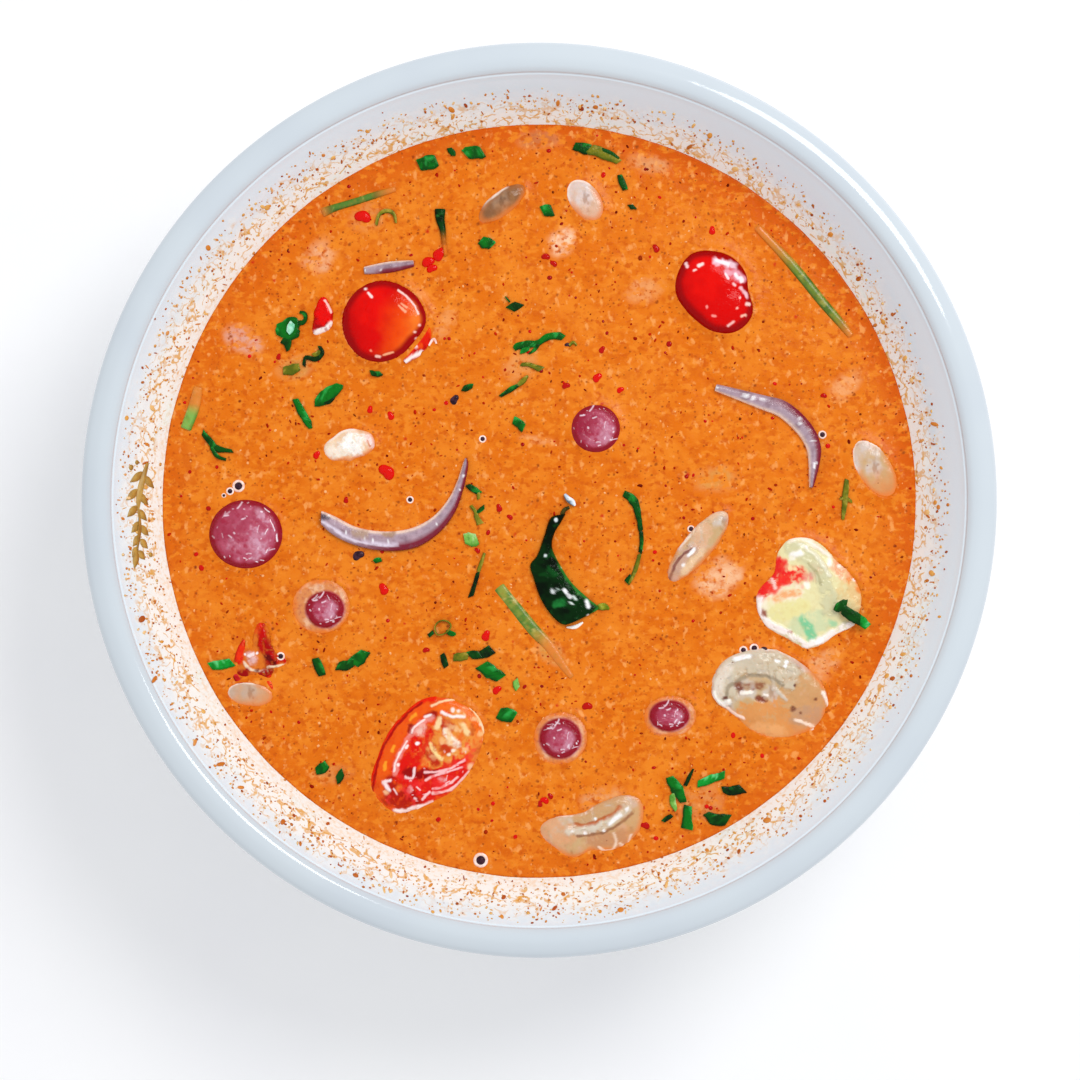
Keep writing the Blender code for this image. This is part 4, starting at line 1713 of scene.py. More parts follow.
@dataclass
class Soup:
    """The broth: a solid up to its level, that climbs a little at the wall and at every topping."""

    bowl: Bowl
    toppings: list[Slice]
    sunken: tuple[Sunken, ...]
    grid: int = 288
    climb: float = 0.35
    climb_width: float = 1.2
    wall_overlap: float = 0.12

    def radius(self) -> float:
        """The surface's radius at the wall, slightly in it so that no gap shows."""
        return float(self.bowl.wall_radius(LEVEL + self.climb)) + self.wall_overlap

    def height(self, x: Array, y: Array, under: bool = False) -> Array:
        """The surface's height above the table.

        Args:
            x: Places along X.
            y: Places along Y.
            under: Whether it dips out of sight beneath the toppings.

        Returns:
            The heights in millimetres.
        """
        rise = 0.10 * noise(x, y, 8.0, 61, 2) + 0.05 * noise(x, y, 2.4, 63, 2)
        gap = self.radius() - np.hypot(x, y)
        rise = rise + self.climb * np.exp(-np.clip(gap, 0, None) / self.climb_width)
        for piece in self.toppings:
            near = np.hypot(x - piece.centre[0], y - piece.centre[1]) < max(piece.reaches) + 6
            if not near.any():
                continue
            out = piece.edge_gap(x[near], y[near])
            rise[near] += piece.rise * np.exp(-np.clip(out, 0, None) / 1.1)
            if under:
                rise[near] -= (1.6 + piece.rise) * step(out, -0.3, -2.0)
        return LEVEL + rise

    def ground(self, name: str, seed: int, patch: float = 14.0) -> Piece:
        """A light mesh of the open surface for scatters.

        Args:
            name: The mesh's name.
            seed: Which pattern of thick and thin patches it has.
            patch: How wide the patches are.

        Returns:
            The ground, with a "share" of 0 under toppings.
        """
        rings, sides = 90, 180
        turn = np.arange(sides) * math.tau / sides
        share, turn = np.meshgrid(np.linspace(0.004, 0.985, rings), turn, indexing="ij")
        x, y = self.radius() * share * np.cos(turn), self.radius() * share * np.sin(turn)
        points = np.stack((x, y, self.height(x, y)), axis=-1).reshape(-1, 3)
        thick = np.clip(0.55 + 0.9 * noise(x, y, patch, seed), 0.08, 1)
        for piece in self.toppings:
            thick = thick * step(piece.edge_gap(x, y), 0.3, 0.9)
        return new_piece(name, points, ring_faces(rings, sides), BROTH, {"share": thick.ravel()})

    def build(self) -> Piece:
        """Make the broth as one closed solid with its sunk pieces marked on the surface.

        Returns:
            The broth, which stands for the CAD soup.
        """
        count = self.grid
        a, b = np.meshgrid(np.linspace(-1, 1, count), np.linspace(-1, 1, count), indexing="ij")
        wide = np.abs(a) > np.abs(b)
        reach = np.where(wide, np.abs(a), np.abs(b))
        small, large = np.where(wide, b, a), np.where(wide, a, b)
        tilt = np.divide(small, large, out=np.zeros_like(a), where=np.abs(large) > 1e-9) * math.pi / 4
        x = reach * np.where(wide, np.sign(a) * np.cos(tilt), np.sign(b) * np.sin(tilt)) * self.radius()
        y = reach * np.where(wide, np.sign(a) * np.sin(tilt), np.sign(b) * np.cos(tilt)) * self.radius()
        z = self.height(x, y, under=True)
        points = np.stack((x, y, z), axis=-1).reshape(-1, 3)
        last = count - 1
        faces = [
            (i * count + j, (i + 1) * count + j, (i + 1) * count + j + 1, i * count + j + 1)
            for i in range(last) for j in range(last)
        ]
        edge = [i * count for i in range(last)] + [last * count + j for j in range(last)]
        edge += [i * count + last for i in range(last, 0, -1)] + list(range(last, 0, -1))
        rim = points[edge]
        turn = np.arctan2(rim[:, 1], rim[:, 0])
        rings = [edge]
        extra = []
        for height in (LEVEL - 2.0, LEVEL - 14.0, 30.0, 14.0):
            radius = float(self.bowl.wall_radius(height)) - 0.05
            first = len(points) + len(extra) * len(edge)
            rings.append(list(range(first, first + len(edge))))
            level = np.full(len(turn), height)
            extra.append(np.column_stack((radius * np.cos(turn), radius * np.sin(turn), level)))
        total = first + len(edge)
        for near, far in zip(rings, rings[1:]):
            faces += [(near[i - 1], far[i - 1], far[i], near[i]) for i in [*range(1, len(edge)), 0]]
        faces += [(far[i], far[i - 1], total) for i in [*range(1, len(edge)), 0]]
        everything = np.vstack((points, *extra, (0.0, 0.0, self.bowl.floor[1] + 0.4)))
        # the darker band at the wall: partly oil, partly painted shadow of the rim, strongest at the upper
        # right, on the side of the key light
        rim_oil_and_shadow = step(np.hypot(everything[:, 0], everything[:, 1]), 70.0, 80.0)
        light = np.cos(np.arctan2(everything[:, 1], everything[:, 0]) - math.radians(50))
        rim_oil_and_shadow = rim_oil_and_shadow * (0.55 + 0.35 * light)
        under = np.tile(linear("#F0B078"), (len(everything), 1))
        amount = np.zeros(len(everything))
        for piece in self.sunken:
            turn_back = math.radians(-piece.turn)
            across, up = everything[:, 0] - piece.centre[0], everything[:, 1] - piece.centre[1]
            u = (across * math.cos(turn_back) - up * math.sin(turn_back)) / piece.half_length
            v = (across * math.sin(turn_back) + up * math.cos(turn_back)) / piece.half_width
            far = np.hypot(u, v) + 0.35 * noise(everything[:, 0], everything[:, 1], 3.0, 71)
            mask = step(far, 1.15, 0.45) * piece.amount
            under += (np.array(linear(piece.colour)) - under) * mask[:, None]
            amount = np.maximum(amount, mask)
        made = new_piece("coconut_broth", everything, faces, BROTH, {
            "rim": rim_oil_and_shadow, "under": under, "under_amount": amount,
        })
        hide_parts("soup")
        return made


def bead(
    name: str,
    place: tuple[float, ...],
    girth: Array,
    height: float,
    rings: int,
    finish: Finish,
    tone: float = 0.0,
) -> Piece:
    """A bead or drop half sunk in the soup.

    Args:
        name: The piece's name.
        place: Its middle.
        girth: How far its waist reaches at even turns.
        height: How far it rises above its middle, and sinks below it.
        rings: How many rings of points it has between its poles.
        finish: Its finish.
        tone: Its place between the finish's colours, where the finish has several.

    Returns:
        The bead.
    """
    turn = np.arange(len(girth)) * math.tau / len(girth)
    x, y, middle = place
    layers = []
    for polar in np.linspace(0, math.pi, rings + 2)[1:-1]:
        reach = girth * math.sin(polar)
        z = np.full(len(girth), middle + height * math.cos(polar))
        layers.append(np.column_stack((x + reach * np.cos(turn), y + reach * np.sin(turn), z)))
    skin = np.vstack((*layers, (x, y, middle + height), (x, y, middle - height)))
    named = {"tone": np.full(len(skin), tone)} if tone else None
    return new_piece(name, skin, capped_faces(rings, len(girth)), finish, named, mend=True)


@dataclass(frozen=True)
class Bubble:
    """A bubble or bead on the surface: a pale ring, which is a painted highlight, round a dark middle, which
    is a painted reflection.
    """

    centre: tuple[float, float]
    radius: float


@dataclass(frozen=True)
class Bubbles:
    """The larger bubbles: a pale ring, which is a painted highlight, and a low dark dome, which is a painted
    reflection, each.
    """

    soup: Soup
    places: tuple[Bubble, ...]

    def build(self) -> list[Piece]:
        """Make all the rings as one piece and all the domes as another.

        Returns:
            The two pieces.
        """
        rings, domes = [], []
        sides, round_count = 28, 10
        turn, roll = np.arange(sides) * math.tau / sides, np.arange(round_count) * math.tau / round_count
        turn, roll = np.meshgrid(turn, roll, indexing="ij")
        for index, bubble in enumerate(self.places):
            at = np.array(bubble.centre)
            level = float(self.soup.height(at[:1].copy(), at[1:].copy())[0])
            thick = bubble.radius * 0.24
            radius = bubble.radius - thick + thick * np.cos(roll)
            x, y = at[0] + radius * np.cos(turn), at[1] + radius * np.sin(turn)
            ring = np.stack((x, y, level + thick * 0.7 * -np.sin(roll)), axis=-1).reshape(-1, 3)
            faces = ring_faces(sides, round_count, closed=True)
            # painted highlight: the pale ring; the dark dome below is a painted reflection
            rings.append(new_piece(f"froth_{index}", ring, faces, BUBBLE_HIGHLIGHT, mend=True))
            girth = np.full(sides, bubble.radius * 0.62)
            domes.append(bead(f"bead_{index}", (*at, level), girth, bubble.radius * 0.4, 7, DARK_BEAD_AND_REFLECTION))
        return [joined("bubble_highlight_rings", rings), joined("bubble_reflection_domes", domes)]


# Where everything lies.

# What is painted on each piece, from its middle or, on the long ones, from the bowl's axis. Many rows are
# painted highlights or painted shadows, as said above each piece.
STROKES = {
    # tomato_round: every row is a painted highlight.
    "tomato_round": """
#FFD8D0 0.4: 3.4 6.5, 5.2 5.1, 6.6 3.6, 7.6 1.6
#FFE8E4 0.7: -3.5 6.8
#FFE8E4 0.45: -2.9 6, -2.2 5
#F8B088 0.5: 3.5 3.2, 5 1.9
#F8B088 0.4: 4 3.6, 5.2 2.9
#FFD0C0 0.5: 7.9 -0.8; 6.9 -2.3; 7.1 -3.6
#FFC8B8 0.5: -1.2 -7.5, -0.4 -7.6
#FFB888 0.4: 0.2 -7.3, 2.2 -6.6
#FF9A7A 0.5: -2.4 -6.4
""",
    # tomato_bean: every row is a painted highlight.
    "tomato_bean": """
#F0D0DC 1.5: 0.4 6.4, 2.2 6.1, 4.2 5.5
#FFF4F8 0.9: 0.9 6.5, 2.8 6
#E8A0B0 1.7: 3 3.9, 4.4 3.7, 5.8 2.6
#FFF0F4 0.7: 4.4 3.6, 5 3; 5.6 3, 5.9 2.2
#F8C8D0 0.8: 5.7 0.6, 6.1 0, 6.7 -0.5, 7 -1.2
#FFE0E4 0.5: 2.4 3.6, 2.9 2.7
#FFD0D0 0.6: 4 1.6, 4.4 1.3
#FFC0B8 0.5: 5.4 -1.3
#FFD8D0 0.7: 6.9 -2.6, 7.3 -2.6
#FFC8B0 0.6: 5.9 -5.2, 6.6 -5.1
#FFC0B0 0.5: 4.8 -3.6
#FFC8C0 0.5: 3 -7.2, 4.2 -6.4
#FFE8E0 0.6: -3.3 5.4, -2.5 5.9
#FFD8D0 0.5: -4.2 4.4, -3.9 4.5
#FFD8D8 0.5: -5.9 6, -5.8 5.2
#FF9A90 0.5: -1.6 -3.4
#FF9A90 0.4: -0.4 -5.1, 0.3 -5.2
""",
    # tomato_wedge: the rows in FFE0B0, FFE8E4, FFF4F0, FFE8C8, FFFFFF, FFF0F0, FFE0E0, FFD8D8 and FFEAE4 are
    # painted highlights, among them the cream line along the top edge and the pale band along the bottom
    # edge.
    "tomato_wedge": """
#E8943C 9: 2.5 1.5, 6 5.5
#EC8A38 3.4: 8.5 9, 11.2 4, 11 0
#DC0008 5 -0.3: -5 -3.5, -2.5 1, -0.8 4.2
#DA0410 6.4: -1 -6.5, 3 -4.8, 6.5 -3.4
#A80008 4.6 -0.35: -9 -6.2, -6.5 -9, -3.8 -9.6
#EA5A10 2.6 0.1: -10.2 -7.5, -9.4 -3, -7.9 1.5, -5.6 5.2, -3 8.3, -0.5 10.4, 2 11.2
#F8A028 0.6: -7.4 1.2, -7 2.4; -9.1 -2.6, -8.7 -1.2
#F8A028 0.7: -3.6 8, -2.4 9
#F06A18 1.6: 2 10.4, 6 11, 9.4 8.8, 11 5.6
#E80800 1.3 0.3: -11.8 -9, -12 -7, -11.1 -3, -9.7 2, -7.4 6, -4.4 9.4, -1.5 11.7, 1.5 12.4
#A40006 0.5: -11.5 -8.6, -11.6 -7, -10.8 -3, -9.4 1.8, -7 5.8, -4 9.2, -1.2 11.4
#FFE0B0 0.5 0.2: 1 10.9, 4 11.9, 7 12, 9 10.8, 11 8, 12.3 5
#B80408 2.2: 4.6 6.2, 3.4 7.4
#C21A08 2: 3.5 2.3, 4.4 1.4
#B81008 1.8: 1.6 -1, 0.6 0.6
#960006 1.7 -0.2: 1.4 9.1, 0.4 8.6
#960006 1.5 -0.2: -3.2 6.4, -3.6 5.4
#8A0006 1.8 -0.2: -4.4 -3.4, -1 -3.8, 1 -3.2
#F4C8B8 2: -1.6 5.4, -1.3 6.4
#F09A90 1.1 0.25 0.7: -6.8 -3.5, -6.4 -1, -5.2 1.5, -3.8 4, -2.5 6.2, 0 7.9, 1 8.4
#FFE8E4 0.4 0.1: -7.1 -3, -6.6 -1, -5.5 1.3, -4.2 3.4; -3.3 5.2, -2.6 6.5, -0.6 7.9
#FFF4F0 0.6: -6.1 -1.6
#FFF4F0 0.5: -4.4 2, -4.1 2.4
#FFF4F0 0.6: -0.4 8.5, 0.6 8.9
#FFF2DC 1.5 0.3: 4 5.4, 4.7 3.9, 6.5 2.6
#FFE29A 0.9 0.25: 0.7 2.7, 1.8 0.8, 3 -0.3
#F8D8A0 1.2 0.2: 2.8 8, 2 6.6
#FFF0D8 0.8 0.2: 5.6 1.4
#FFF0D8 0.7 0.2: 4.6 0.6
#FFF4F0 0.7 0.2: 3.2 9.6, 5.5 8.5, 7.8 8.6
#FFF4F0 0.8: 5.3 9.9; 6.7 9.6
#F6D49A 1.2 0.15: 7.4 6.6, 8.4 5.2
#FFE8C8 0.7: 11.4 7; 12 3.8
#FFFFFF 0.7: -2.1 2.9
#F8C89C 1.4: 9 -2
#E8A0A0 1.3: 3 -4.8, 3.6 -4.9
#FFC8C8 0.5 0.2: -0.5 -3.3, 3 -3, 6 -1.8, 8 -0.6
#FFC8C8 0.45 0.2: -0.3 -4.8, 2 -3.8, 4 -3.2, 7.3 -2.1
#FFC8C8 0.5 0.2: 1.2 -6.8, 3.5 -6.2, 5.5 -5, 6.5 -4.2
#FFD0CC 0.6 0.2: 1.2 -7.6, 4 -7.3, 6 -6.2, 7.6 -4.6, 8.8 -3.2
#FFF0F0 0.7 0.2: -9.3 -5.4, -8 -7
#FFF0F0 0.6 0.2: -9 -5.2, -7.8 -5
#F8C090 1: -8.8 -7.6
#F07028 1.5: -6 -6.5
#F0A0A0 1.2: -3.5 -7
#FFE0E0 0.5 0.1: -2.7 -2.5, -3 -4.4, -4.5 -4.3
#FFE0E0 0.6: -2.6 -8.8
#FFD8D8 0.5 0.1: -1 -9, 0.5 -7.5
#FFEAE4 1 0.3: -7 -11.4, -4.5 -11.6, -3.5 -11, -1 -10.6, 1 -9.9
""",
    # tomato_pale: painted highlights are the pale band along the bottom edge (FFF2EE) with its white dab, the
    # bright stroke on the ridge (FFFAF4) and the pink dabs on the red corner (FFD8D0); painted shadows are
    # the dark line beside the ridge (B4AC80) and the brown line above the bottom edge (A83018).
    "tomato_pale": """
#F4E8CC 5: -9 -1.5, -4 0.5
#E6DC98 4.2: -7 -3.6, -2 -2.8
#CDD4A6 5: -2.5 -7, 1.5 -5.5
#EC8632 5.6 -0.4 1: 7.2 8.2, 9.4 4.4, 11 2, 12.4 -3
#E6C88C 4.2: 7.4 1, 8.4 -1.6, 8 -4
#F4B48C 3: 5.6 6.4, 6.8 4.4
#F0A060 1.6: -7.5 -1, -5.4 0.2, -3 0.6
#E80000 3 0.1 1: -10.8 0.2, -9.4 2.2, -7.2 4.6, -6.8 6.4
#E80400 3.2 0.1 1: -6.8 3.6, -4.6 4.2, -2.6 4.6
#EE1C08 2.4: -8.2 1.2, -5.6 3.2, -2.4 3.6
#E8887C 2.2: -0.8 3.4, 0.8 4.4, 1 5.6
#FFF6E8 1: -1.4 2.2, -0.8 1.8
#CFCAA0 3.4 0.4: -3.9 10.2, -1.8 9, 0.4 7, 2 4.5, 2.8 2, 3.8 -0.6, 4 -3.2
#E8E4C8 0.9 0.2: -2.6 10.6, 0.2 9, 2.4 6.6, 3.8 4
#B4AC80 0.6: -0.8 6.6, 1.2 4.4, 2 2
#68C490 2: -1.7 -5.6, -0.8 -7.2, 0.2 -8.8
#9AD0A0 1.6: 4.6 -6.2
#8A2A10 1.4: -10.6 -3.6, -10.2 -4.4
#A83018 0.6: -8.4 -6.6, -4.2 -8
#FFFAF4 1.2 0.2: -4.4 8, -2.4 8.8
#FFF0DC 1.1 0.3: -4.6 11.4, -3.2 12, -1 11.6, 1 10.2, 2.5 9
#FFEFE0 0.8 0.2: 0.8 10.6, 4 8.3; 5.3 8.6, 7 7
#FFEFE0 0.9: 3.8 6.4, 4 8
#FFFFFF 0.7: 8.2 8.1
#FFFFFF 0.8: 9.1 3.1
#FFEFE0 0.7: 5.8 6, 7 6.4
#FFFFFF 0.7: -1.1 10.1
#FFD8D0 0.6 0.2: -8.4 3.4, -7.6 1.3
#FFD0A0 0.7: -9 -1
#FFE0A8 1: -4.6 5.6
#FFE0A8 0.9: -3.6 5.5
#FFB8A0 0.8: -2 1.7
#FFF2EE 1.5 0.5: -10.8 -1, -10.7 -5, -5 -8.2, -1.5 -10.4, -0.5 -10.7, 2.4 -9.5, 5 -8, 8.2 -6.4
#FFFFFF 0.9 0.2: 1 -10.2, 2.2 -9.8
#90D8A8 1.8: 10.2 -4.9
""",
    # mushroom_big: the white lines along the left and right edges (FFFDF6, FFF4E8), the white dabs and the
    # short bright strokes (FFF6EA) are painted highlights; the sunk near-black dabs (6A1408, 701A0C) are
    # painted shade in the pockets.
    "mushroom_big": """
#DC9048 9: -3 -5.5, 1 -6
#CE9A64 6.6: 5 1, 8.5 -1
#C09470 4.4: 6 -4.8, 9 -4.6
#EAA868 3: -3 -7.6, 1.5 -8.2
#CDBFA6 5.6 0.5: -10.4 0.6, -9.6 4.4, -6.6 6.6, -2 6.8, 1.4 5.4, 3.4 3.6
#E6DACA 2.2 0.2: -11.2 -0.8, -11.2 2.4, -9.4 5.6
#9C8C74 0.8: -9.6 -1, -9.2 1.2, -7.4 2.6, -4.6 3.8, 0 3.4, 2.4 1.6
#FFFDF6 0.9 0.3: -12.2 0.2, -11.6 -1.5, -10 -2.2, -8.8 -1.6
#FFFFFF 0.9 0.2: -7.5 7.2, -5 8
#FFFFFF 0.7: 1 7.1, 1.6 7
#FFFFFF 0.8: 3.2 6.8
#FFFFFF 0.7: 2.8 6
#8A4A2C 1.5: -6 1.4, -2 1.9
#6A1408 1.7 -0.2: -6.9 1.8, -6.6 1
#701A0C 1.4 -0.2: -3 -0.9, -1.6 -1.2
#5A1208 0.9: -9.8 -1
#5A1208 1.1: 4.6 -3.2
#5A1208 0.7: 5 1.8; 9.3 -1.2; 6.2 -4
#FFF6EA 0.7 0.1: -6.3 0.3, -4.3 0.4
#FFF6EA 0.6: -1.6 -0.1, -0.8 -0.3
#CFC4B4 0.7 0.2: 0.3 1, 1.5 0.3, 3 -1.2
#FFE2D2 0.6 0.2: -9.3 -3, -8 -4.3, -6 -5.2
#FFF4E8 0.8 0.3: 11 0.2, 12.1 -2.5, 11.8 -5, 10.4 -7, 8.8 -8
#FFE6D0 0.6 0.2: 5 -5.5, 7 -6.3, 9 -7
""",
    # mushroom_low: the white dabs are painted highlights.
    "mushroom_low": """
#C89C6C 4 0.2: -2 1.6, 1 3.4, 6 5.2
#DCA478 5: -8 0, -5 -1.5
#C08A60 3.8: 1 -2.6, 6.6 -2.2
#BC540C 0.9 -0.2: -3 0.9, -1 0.5, 1 1, 3 1.9, 5 3, 6.5 4.3
#D8CCB8 1.9 0.4: -4.5 -0.8, 0 -0.3, 3 0.5, 6 2.3, 8 4
#8E6040 0.6: -2.5 -1.8, 2 -1.2, 5 0, 7 1.3, 9 3
#FFFFFF 0.9 0.2: 4.2 0.9, 6.2 2.5
#FFFFFF 0.8: 7.8 4.1
#FFFFFF 0.6: -1 -1.1; -3.7 -0.7; 3 -0.5; 1.2 1.9
#F8E0C8 0.5 0.1: 5 -1, 5.6 -3, 4.8 -4.6, 3.2 -5, 2 -4.1; 6.5 -3.3, 7.2 -4; 8.7 -1.5, 8.3 -3
#FFE6DC 0.6 0.1: -11 3.2, -9.8 3.9, -8 3.4
""",
    # mushroom_fold: the white dabs and the thin near-white line (FFF4EA) are painted highlights.
    "mushroom_fold": """
#DCAE88 3.4: 0.4 0.8, 1.4 3.6
#E2BC98 2 0.4: -1.5 3.2, 0.8 5.4, 3.3 7.1, 5.8 7.5
#FFF4EA 0.7 0.2: -1.7 3.8, 0.2 5.9, 2.6 7.6
#C8A08C 2.4 0.3: -5.4 -6.8, -4.2 -4.2, -2.6 -2, -0.6 -0.6
#7A4038 0.6: -6 -6.8, -5 -4.2, -3.2 -1.8, -1.2 -0.6
#FFFFFF 0.8: -3 -4
#FFFFFF 0.7 0.1: -2 -1.9, -0.8 -0.5
#EAC8A0 1.6: -3 -5.6, -1 -3, 0.6 -1.2
""",
    "mushroom_white": """
#F6ECDC 3.2: -4 -1.2, -1 0.2
#FBFBF6 4.6 0.2: 0.2 0.6, 0.8 1
#F0D4D0 1.6: 3.6 2.2, 4.6 0.6
#C87848 0.4: 3.6 1.4, 4.2 0.2
#FFF8F0 0.5: -5.4 -1.6
""",
    # chilli_skin: the white dabs are painted highlights.
    "chilli_skin": """
#E02004 1.9 0.3 1: -3.9 3.6, -4.4 1.8, -4.8 0.3
#A80002 2.8 0.4 1: 1 3.4, 1.9 1.6, 2.4 0.4
#C80800 1.5 0.2 1: 2.4 0.8, 4 0.4, 5.4 0.1
#C00400 1.9 0.4 1: 0.2 7.6, 0.4 4.6, 0.2 2.6
#DE3A04 1.6: -0.6 8, -0.8 6.6
#600002 1.4 0 1: 1.2 1, 2.8 0
#E4B8B4 2 0.3: -2.2 1.2, -1.6 0.3
#F8E4E4 0.7: -2.4 1.4, -1.6 1.6
#F4DCC0 0.6 0.2: -3.6 0, -2.6 -1.5, -0.4 -2.1, 1.5 -1.8
#946418 1.4 0.2: 1.9 -1.8, 3.6 -2, 5 -1.7
#F6DEBC 0.5 0.1: 1.6 -1.2, 3.6 -0.9, 5.2 -0.6
#5E0004 1.1: -0.8 -2
#9A0002 2.6 0.4 1: -4.8 -3.2, -3.6 -2.8
#A00002 2.2 0.4 1: 0.6 -2.8, 1.6 -2.6
#B80404 1.3 0.2: -0.6 -4, 0.4 -4.3
#E02A04 1.2 0.2: 1.9 -3.4, 1.7 -4
#FFFFFF 0.5: -3.4 1.6; -0.8 1.8
""",
    # chilli_cut: the thin pale pink line (FFD0C8) is a painted highlight.
    "chilli_cut": """
#FFF4EC 1.3 0.2: -1.6 -3.4, 0.4 -2.6, 2 -1.5
#FFD0C8 0.5 0.1: 0.5 3.6, 1.3 2.4, 1.7 1.2
#960004 1.4: -1.4 -0.4, -1.2 -1.8
""",
    "flap": """
#FFF4F0 0.9 0.2: -28.2 29.5, -26.4 30.8, -25 31.7
#FFE8E0 0.6: -26.2 32.9
""",
    # onion_long: the dark dab at the left end (40303C) is a painted shadow, and the white dab a painted
    # highlight.
    "onion_long": """
#B09078 1.8: -39 -6.9, -37 -7.2
#A88468 1.2: -32.5 -7, -31 -7
#E8DCEC 0.55: -46 -4.3, -43.4 -6, -41 -7.6, -38 -8.6, -33 -9.4, -30 -9.3
#40303C 1.3: -45.7 -3.4, -45 -3.6
#FFFFFF 0.5: -44.6 -3
""",
    # lime_leaf: the whitish and pale green dabs are painted highlights.
    "lime_leaf": """
#E8F0F0 0.7 0.1: 3.5 -4
#E8F0F0 0.6 0.1: 1.4 -11.5
#F4FAF8 0.7: 2.8 -19, 3 -19.2
#C8DCD0 0.5: 3.8 -18.8
#FFFFFF 0.7: 5.4 -19, 5.7 -19.3; 6.3 -19.9, 6.6 -20.3
#E0EEE4 0.5: 7.3 -20.2, 7.8 -20.8
#E8F4EC 0.6: 6.7 -21.6, 7 -21.9
#FFFFFF 0.8: 10 -21.3, 10.4 -22.3; 10.4 -24.4
#A8D0A0 0.5: 4.8 -14
#1E7A34 1.4 0.1: 3.4 -21.9, 4.7 -21.4
#2A7A34 0.5: 8.2 -18.9, 8.6 -19.4
#0E4A1A 1.2: 2 -14.4, 3.2 -15.6
""",
}

SLICES: tuple[Slice, ...] = (
    TomatoCap(
        "tomato_round", (-33.2, 38.1), (9.6, 9.3, 8.9, 8.9, 8.8, 8.8, 8.9, 9.0, 9.2, 8.9, 8.4, 8.3), 2.6, 8.0,
        wash=0.9, wash_from=-20,
    ),
    TomatoCap(
        "tomato_bean", (37.0, 44.3), (7.6, 8.0, 8.5, 8.9, 9.6, 8.9, 8.3, 7.3, 7.3, 8.6, 9.9, 9.7), 3.0, 8.0,
    ),
    TomatoWedge(
        "tomato_wedge", (-23.7, -54.2), (10.9, 13.7, 13.6, 12.6, 10.4, 9.8, 10.6, 13.6, 13.8, 10.2, 9.3, 9.2),
        1.6, 7.0,
    ),
    TomatoPale(
        "tomato_pale", (57.7, -19.8), (11.2, 9.8, 9.6, 11.9, 12.4, 9.2, 11.6, 11.8, 10.9, 11.6, 10.0, 11.4),
        1.4, 4.0,
    ),
    ShallotSlice("shallot_left", (-62.2, -7.0), oval(7.9, 7.4), 1.9, 5.0, deep_side=150, streaks=1.0),
    ShallotSlice(
        "shallot_ringed", (-46.2, -22.3), oval(6.6, 6.2), 1.4, 5.0, core=0.6, centre_shift=(0.8, -0.7),
    ),
    ShallotSlice(
        "shallot_centre", (12.0, 15.4), oval(5.4, 5.2), 1.3, 4.0, deep=0.9, deep_side=165, streaks=0.5,
    ),
    ShallotSlice("shallot_low", (4.5, -50.3), oval(6.2, 6.0), 1.3, 4.0, core=0.69),
    ShallotSlice(
        "shallot_right", (27.8, -45.6), oval(6.1, 4.7), 1.3, 4.0, core=0.67, centre_shift=(-0.2, 0.1),
    ),
    MushroomSlice(
        "mushroom_big", (49.2, -40.8), (12.0, 9.8, 9.1, 9.6, 10.5, 12.4, 12.6, 9.2, 9.0, 9.6, 10.8, 12.4),
        1.6, 4.5,
        rings=60, sides=180,
    ),
    MushroomSlice(
        "mushroom_low", (10.7, -69.2), (11.3, 12.4, 6.6, 4.0, 3.6, 5.2, 10.8, 8.8, 7.6, 5.2, 6.0, 8.4),
        1.1, 2.6,
    ),
    MushroomSlice("mushroom_fold", (33.7, -9.6), oval(9.4, 3.2), 1.3, 2.5, 50),
    MushroomSlice(
        "mushroom_oval", (9.8, 63.8), oval(5.2, 3.3), 1.0, 3.0, -53, low=0.2, body="#D8B8A0", grey="#DCD0CC",
    ),
    MushroomSlice(
        "mushroom_brown", (-7.9, 63.1), oval(6.1, 2.6), 1.3, 2.6, 37, slot="brown_mushroom", body="#7E5430",
        grey="#96765C", dark="#553214",
    ),
    MushroomSlice("mushroom_clear", (71.2, 6.8), oval(7.2, 3.8), 0.9, 2.2, -58),
    MushroomSlice(
        "mushroom_grey", (-61.2, -41.0), oval(5.2, 2.8), 0.8, 2.0, -8, body="#CCA480", grey="#BCAC9A",
    ),
    MushroomSlice(
        "mushroom_white", (-40.0, 11.4), (5.2, 5.4, 4.4, 4.1, 4.1, 4.4, 5.8, 5.2, 3.3, 3.1, 2.7, 3.6),
        1.2, 2.6,
        body="#EBC49C", grey="#F2D8B8", low=0.1,
    ),
    Chunk(
        "chilli_skin", (-59.0, -34.0), (5.7, 4.0, 4.6, 8.6, 3.9, 5.2, 5.0, 5.6, 3.6, 3.0, 4.0, 3.4), 0.6, 1.6,
        body="#DC7420", second="#CE6210", rings=64, sides=200,
    ),
    Chunk(
        "chilli_cut", (-45.8, 38.8), (2.2, 2.6, 3.0, 4.7, 3.0, 2.4, 2.0, 2.6, 4.0, 3.2, 2.8, 2.4), 1.3, 2.0,
        body="#E40400",
    ),
)

ONIONS: tuple[OnionStrip, ...] = (
    OnionStrip("onion_long", "", 2.6, 0.2, skin_side=1.0, steps=140, sides=32, edges="""
        -46.3 -4.9 -46.2 -2, -44 -7 -43.4 -3.2, -40.4 -8.9 -39 -5.4, -35.4 -10.3 -34.5 -6.3,
        -30 -10.6 -30 -6.3, -25.4 -9.6 -26 -5.3, -21 -6.6 -22.2 -3, -17.8 -2.4 -19.2 .6,
        -16 2.6 -17.5 4, -15 7.4 -16.3 7.6, -15.3 9.2 -15.8 9
    """),
    OnionStrip("onion_right", """
        37.4 24.1 1.5, 46.9 21.1 3, 51.8 19.4 3.6, 56 15.6 3.6, 58.1 11.8 3.2, 58.3 8 2.4, 57.7 2.9 .9
    """, 2.4, 0.2, skin_side=1.0),
    OnionStrip("onion_sliver", "-37.1 48.9 1.6, -31.8 49.6 2.4, -26.6 50.4 1.4", 1.8, 0.1),
)

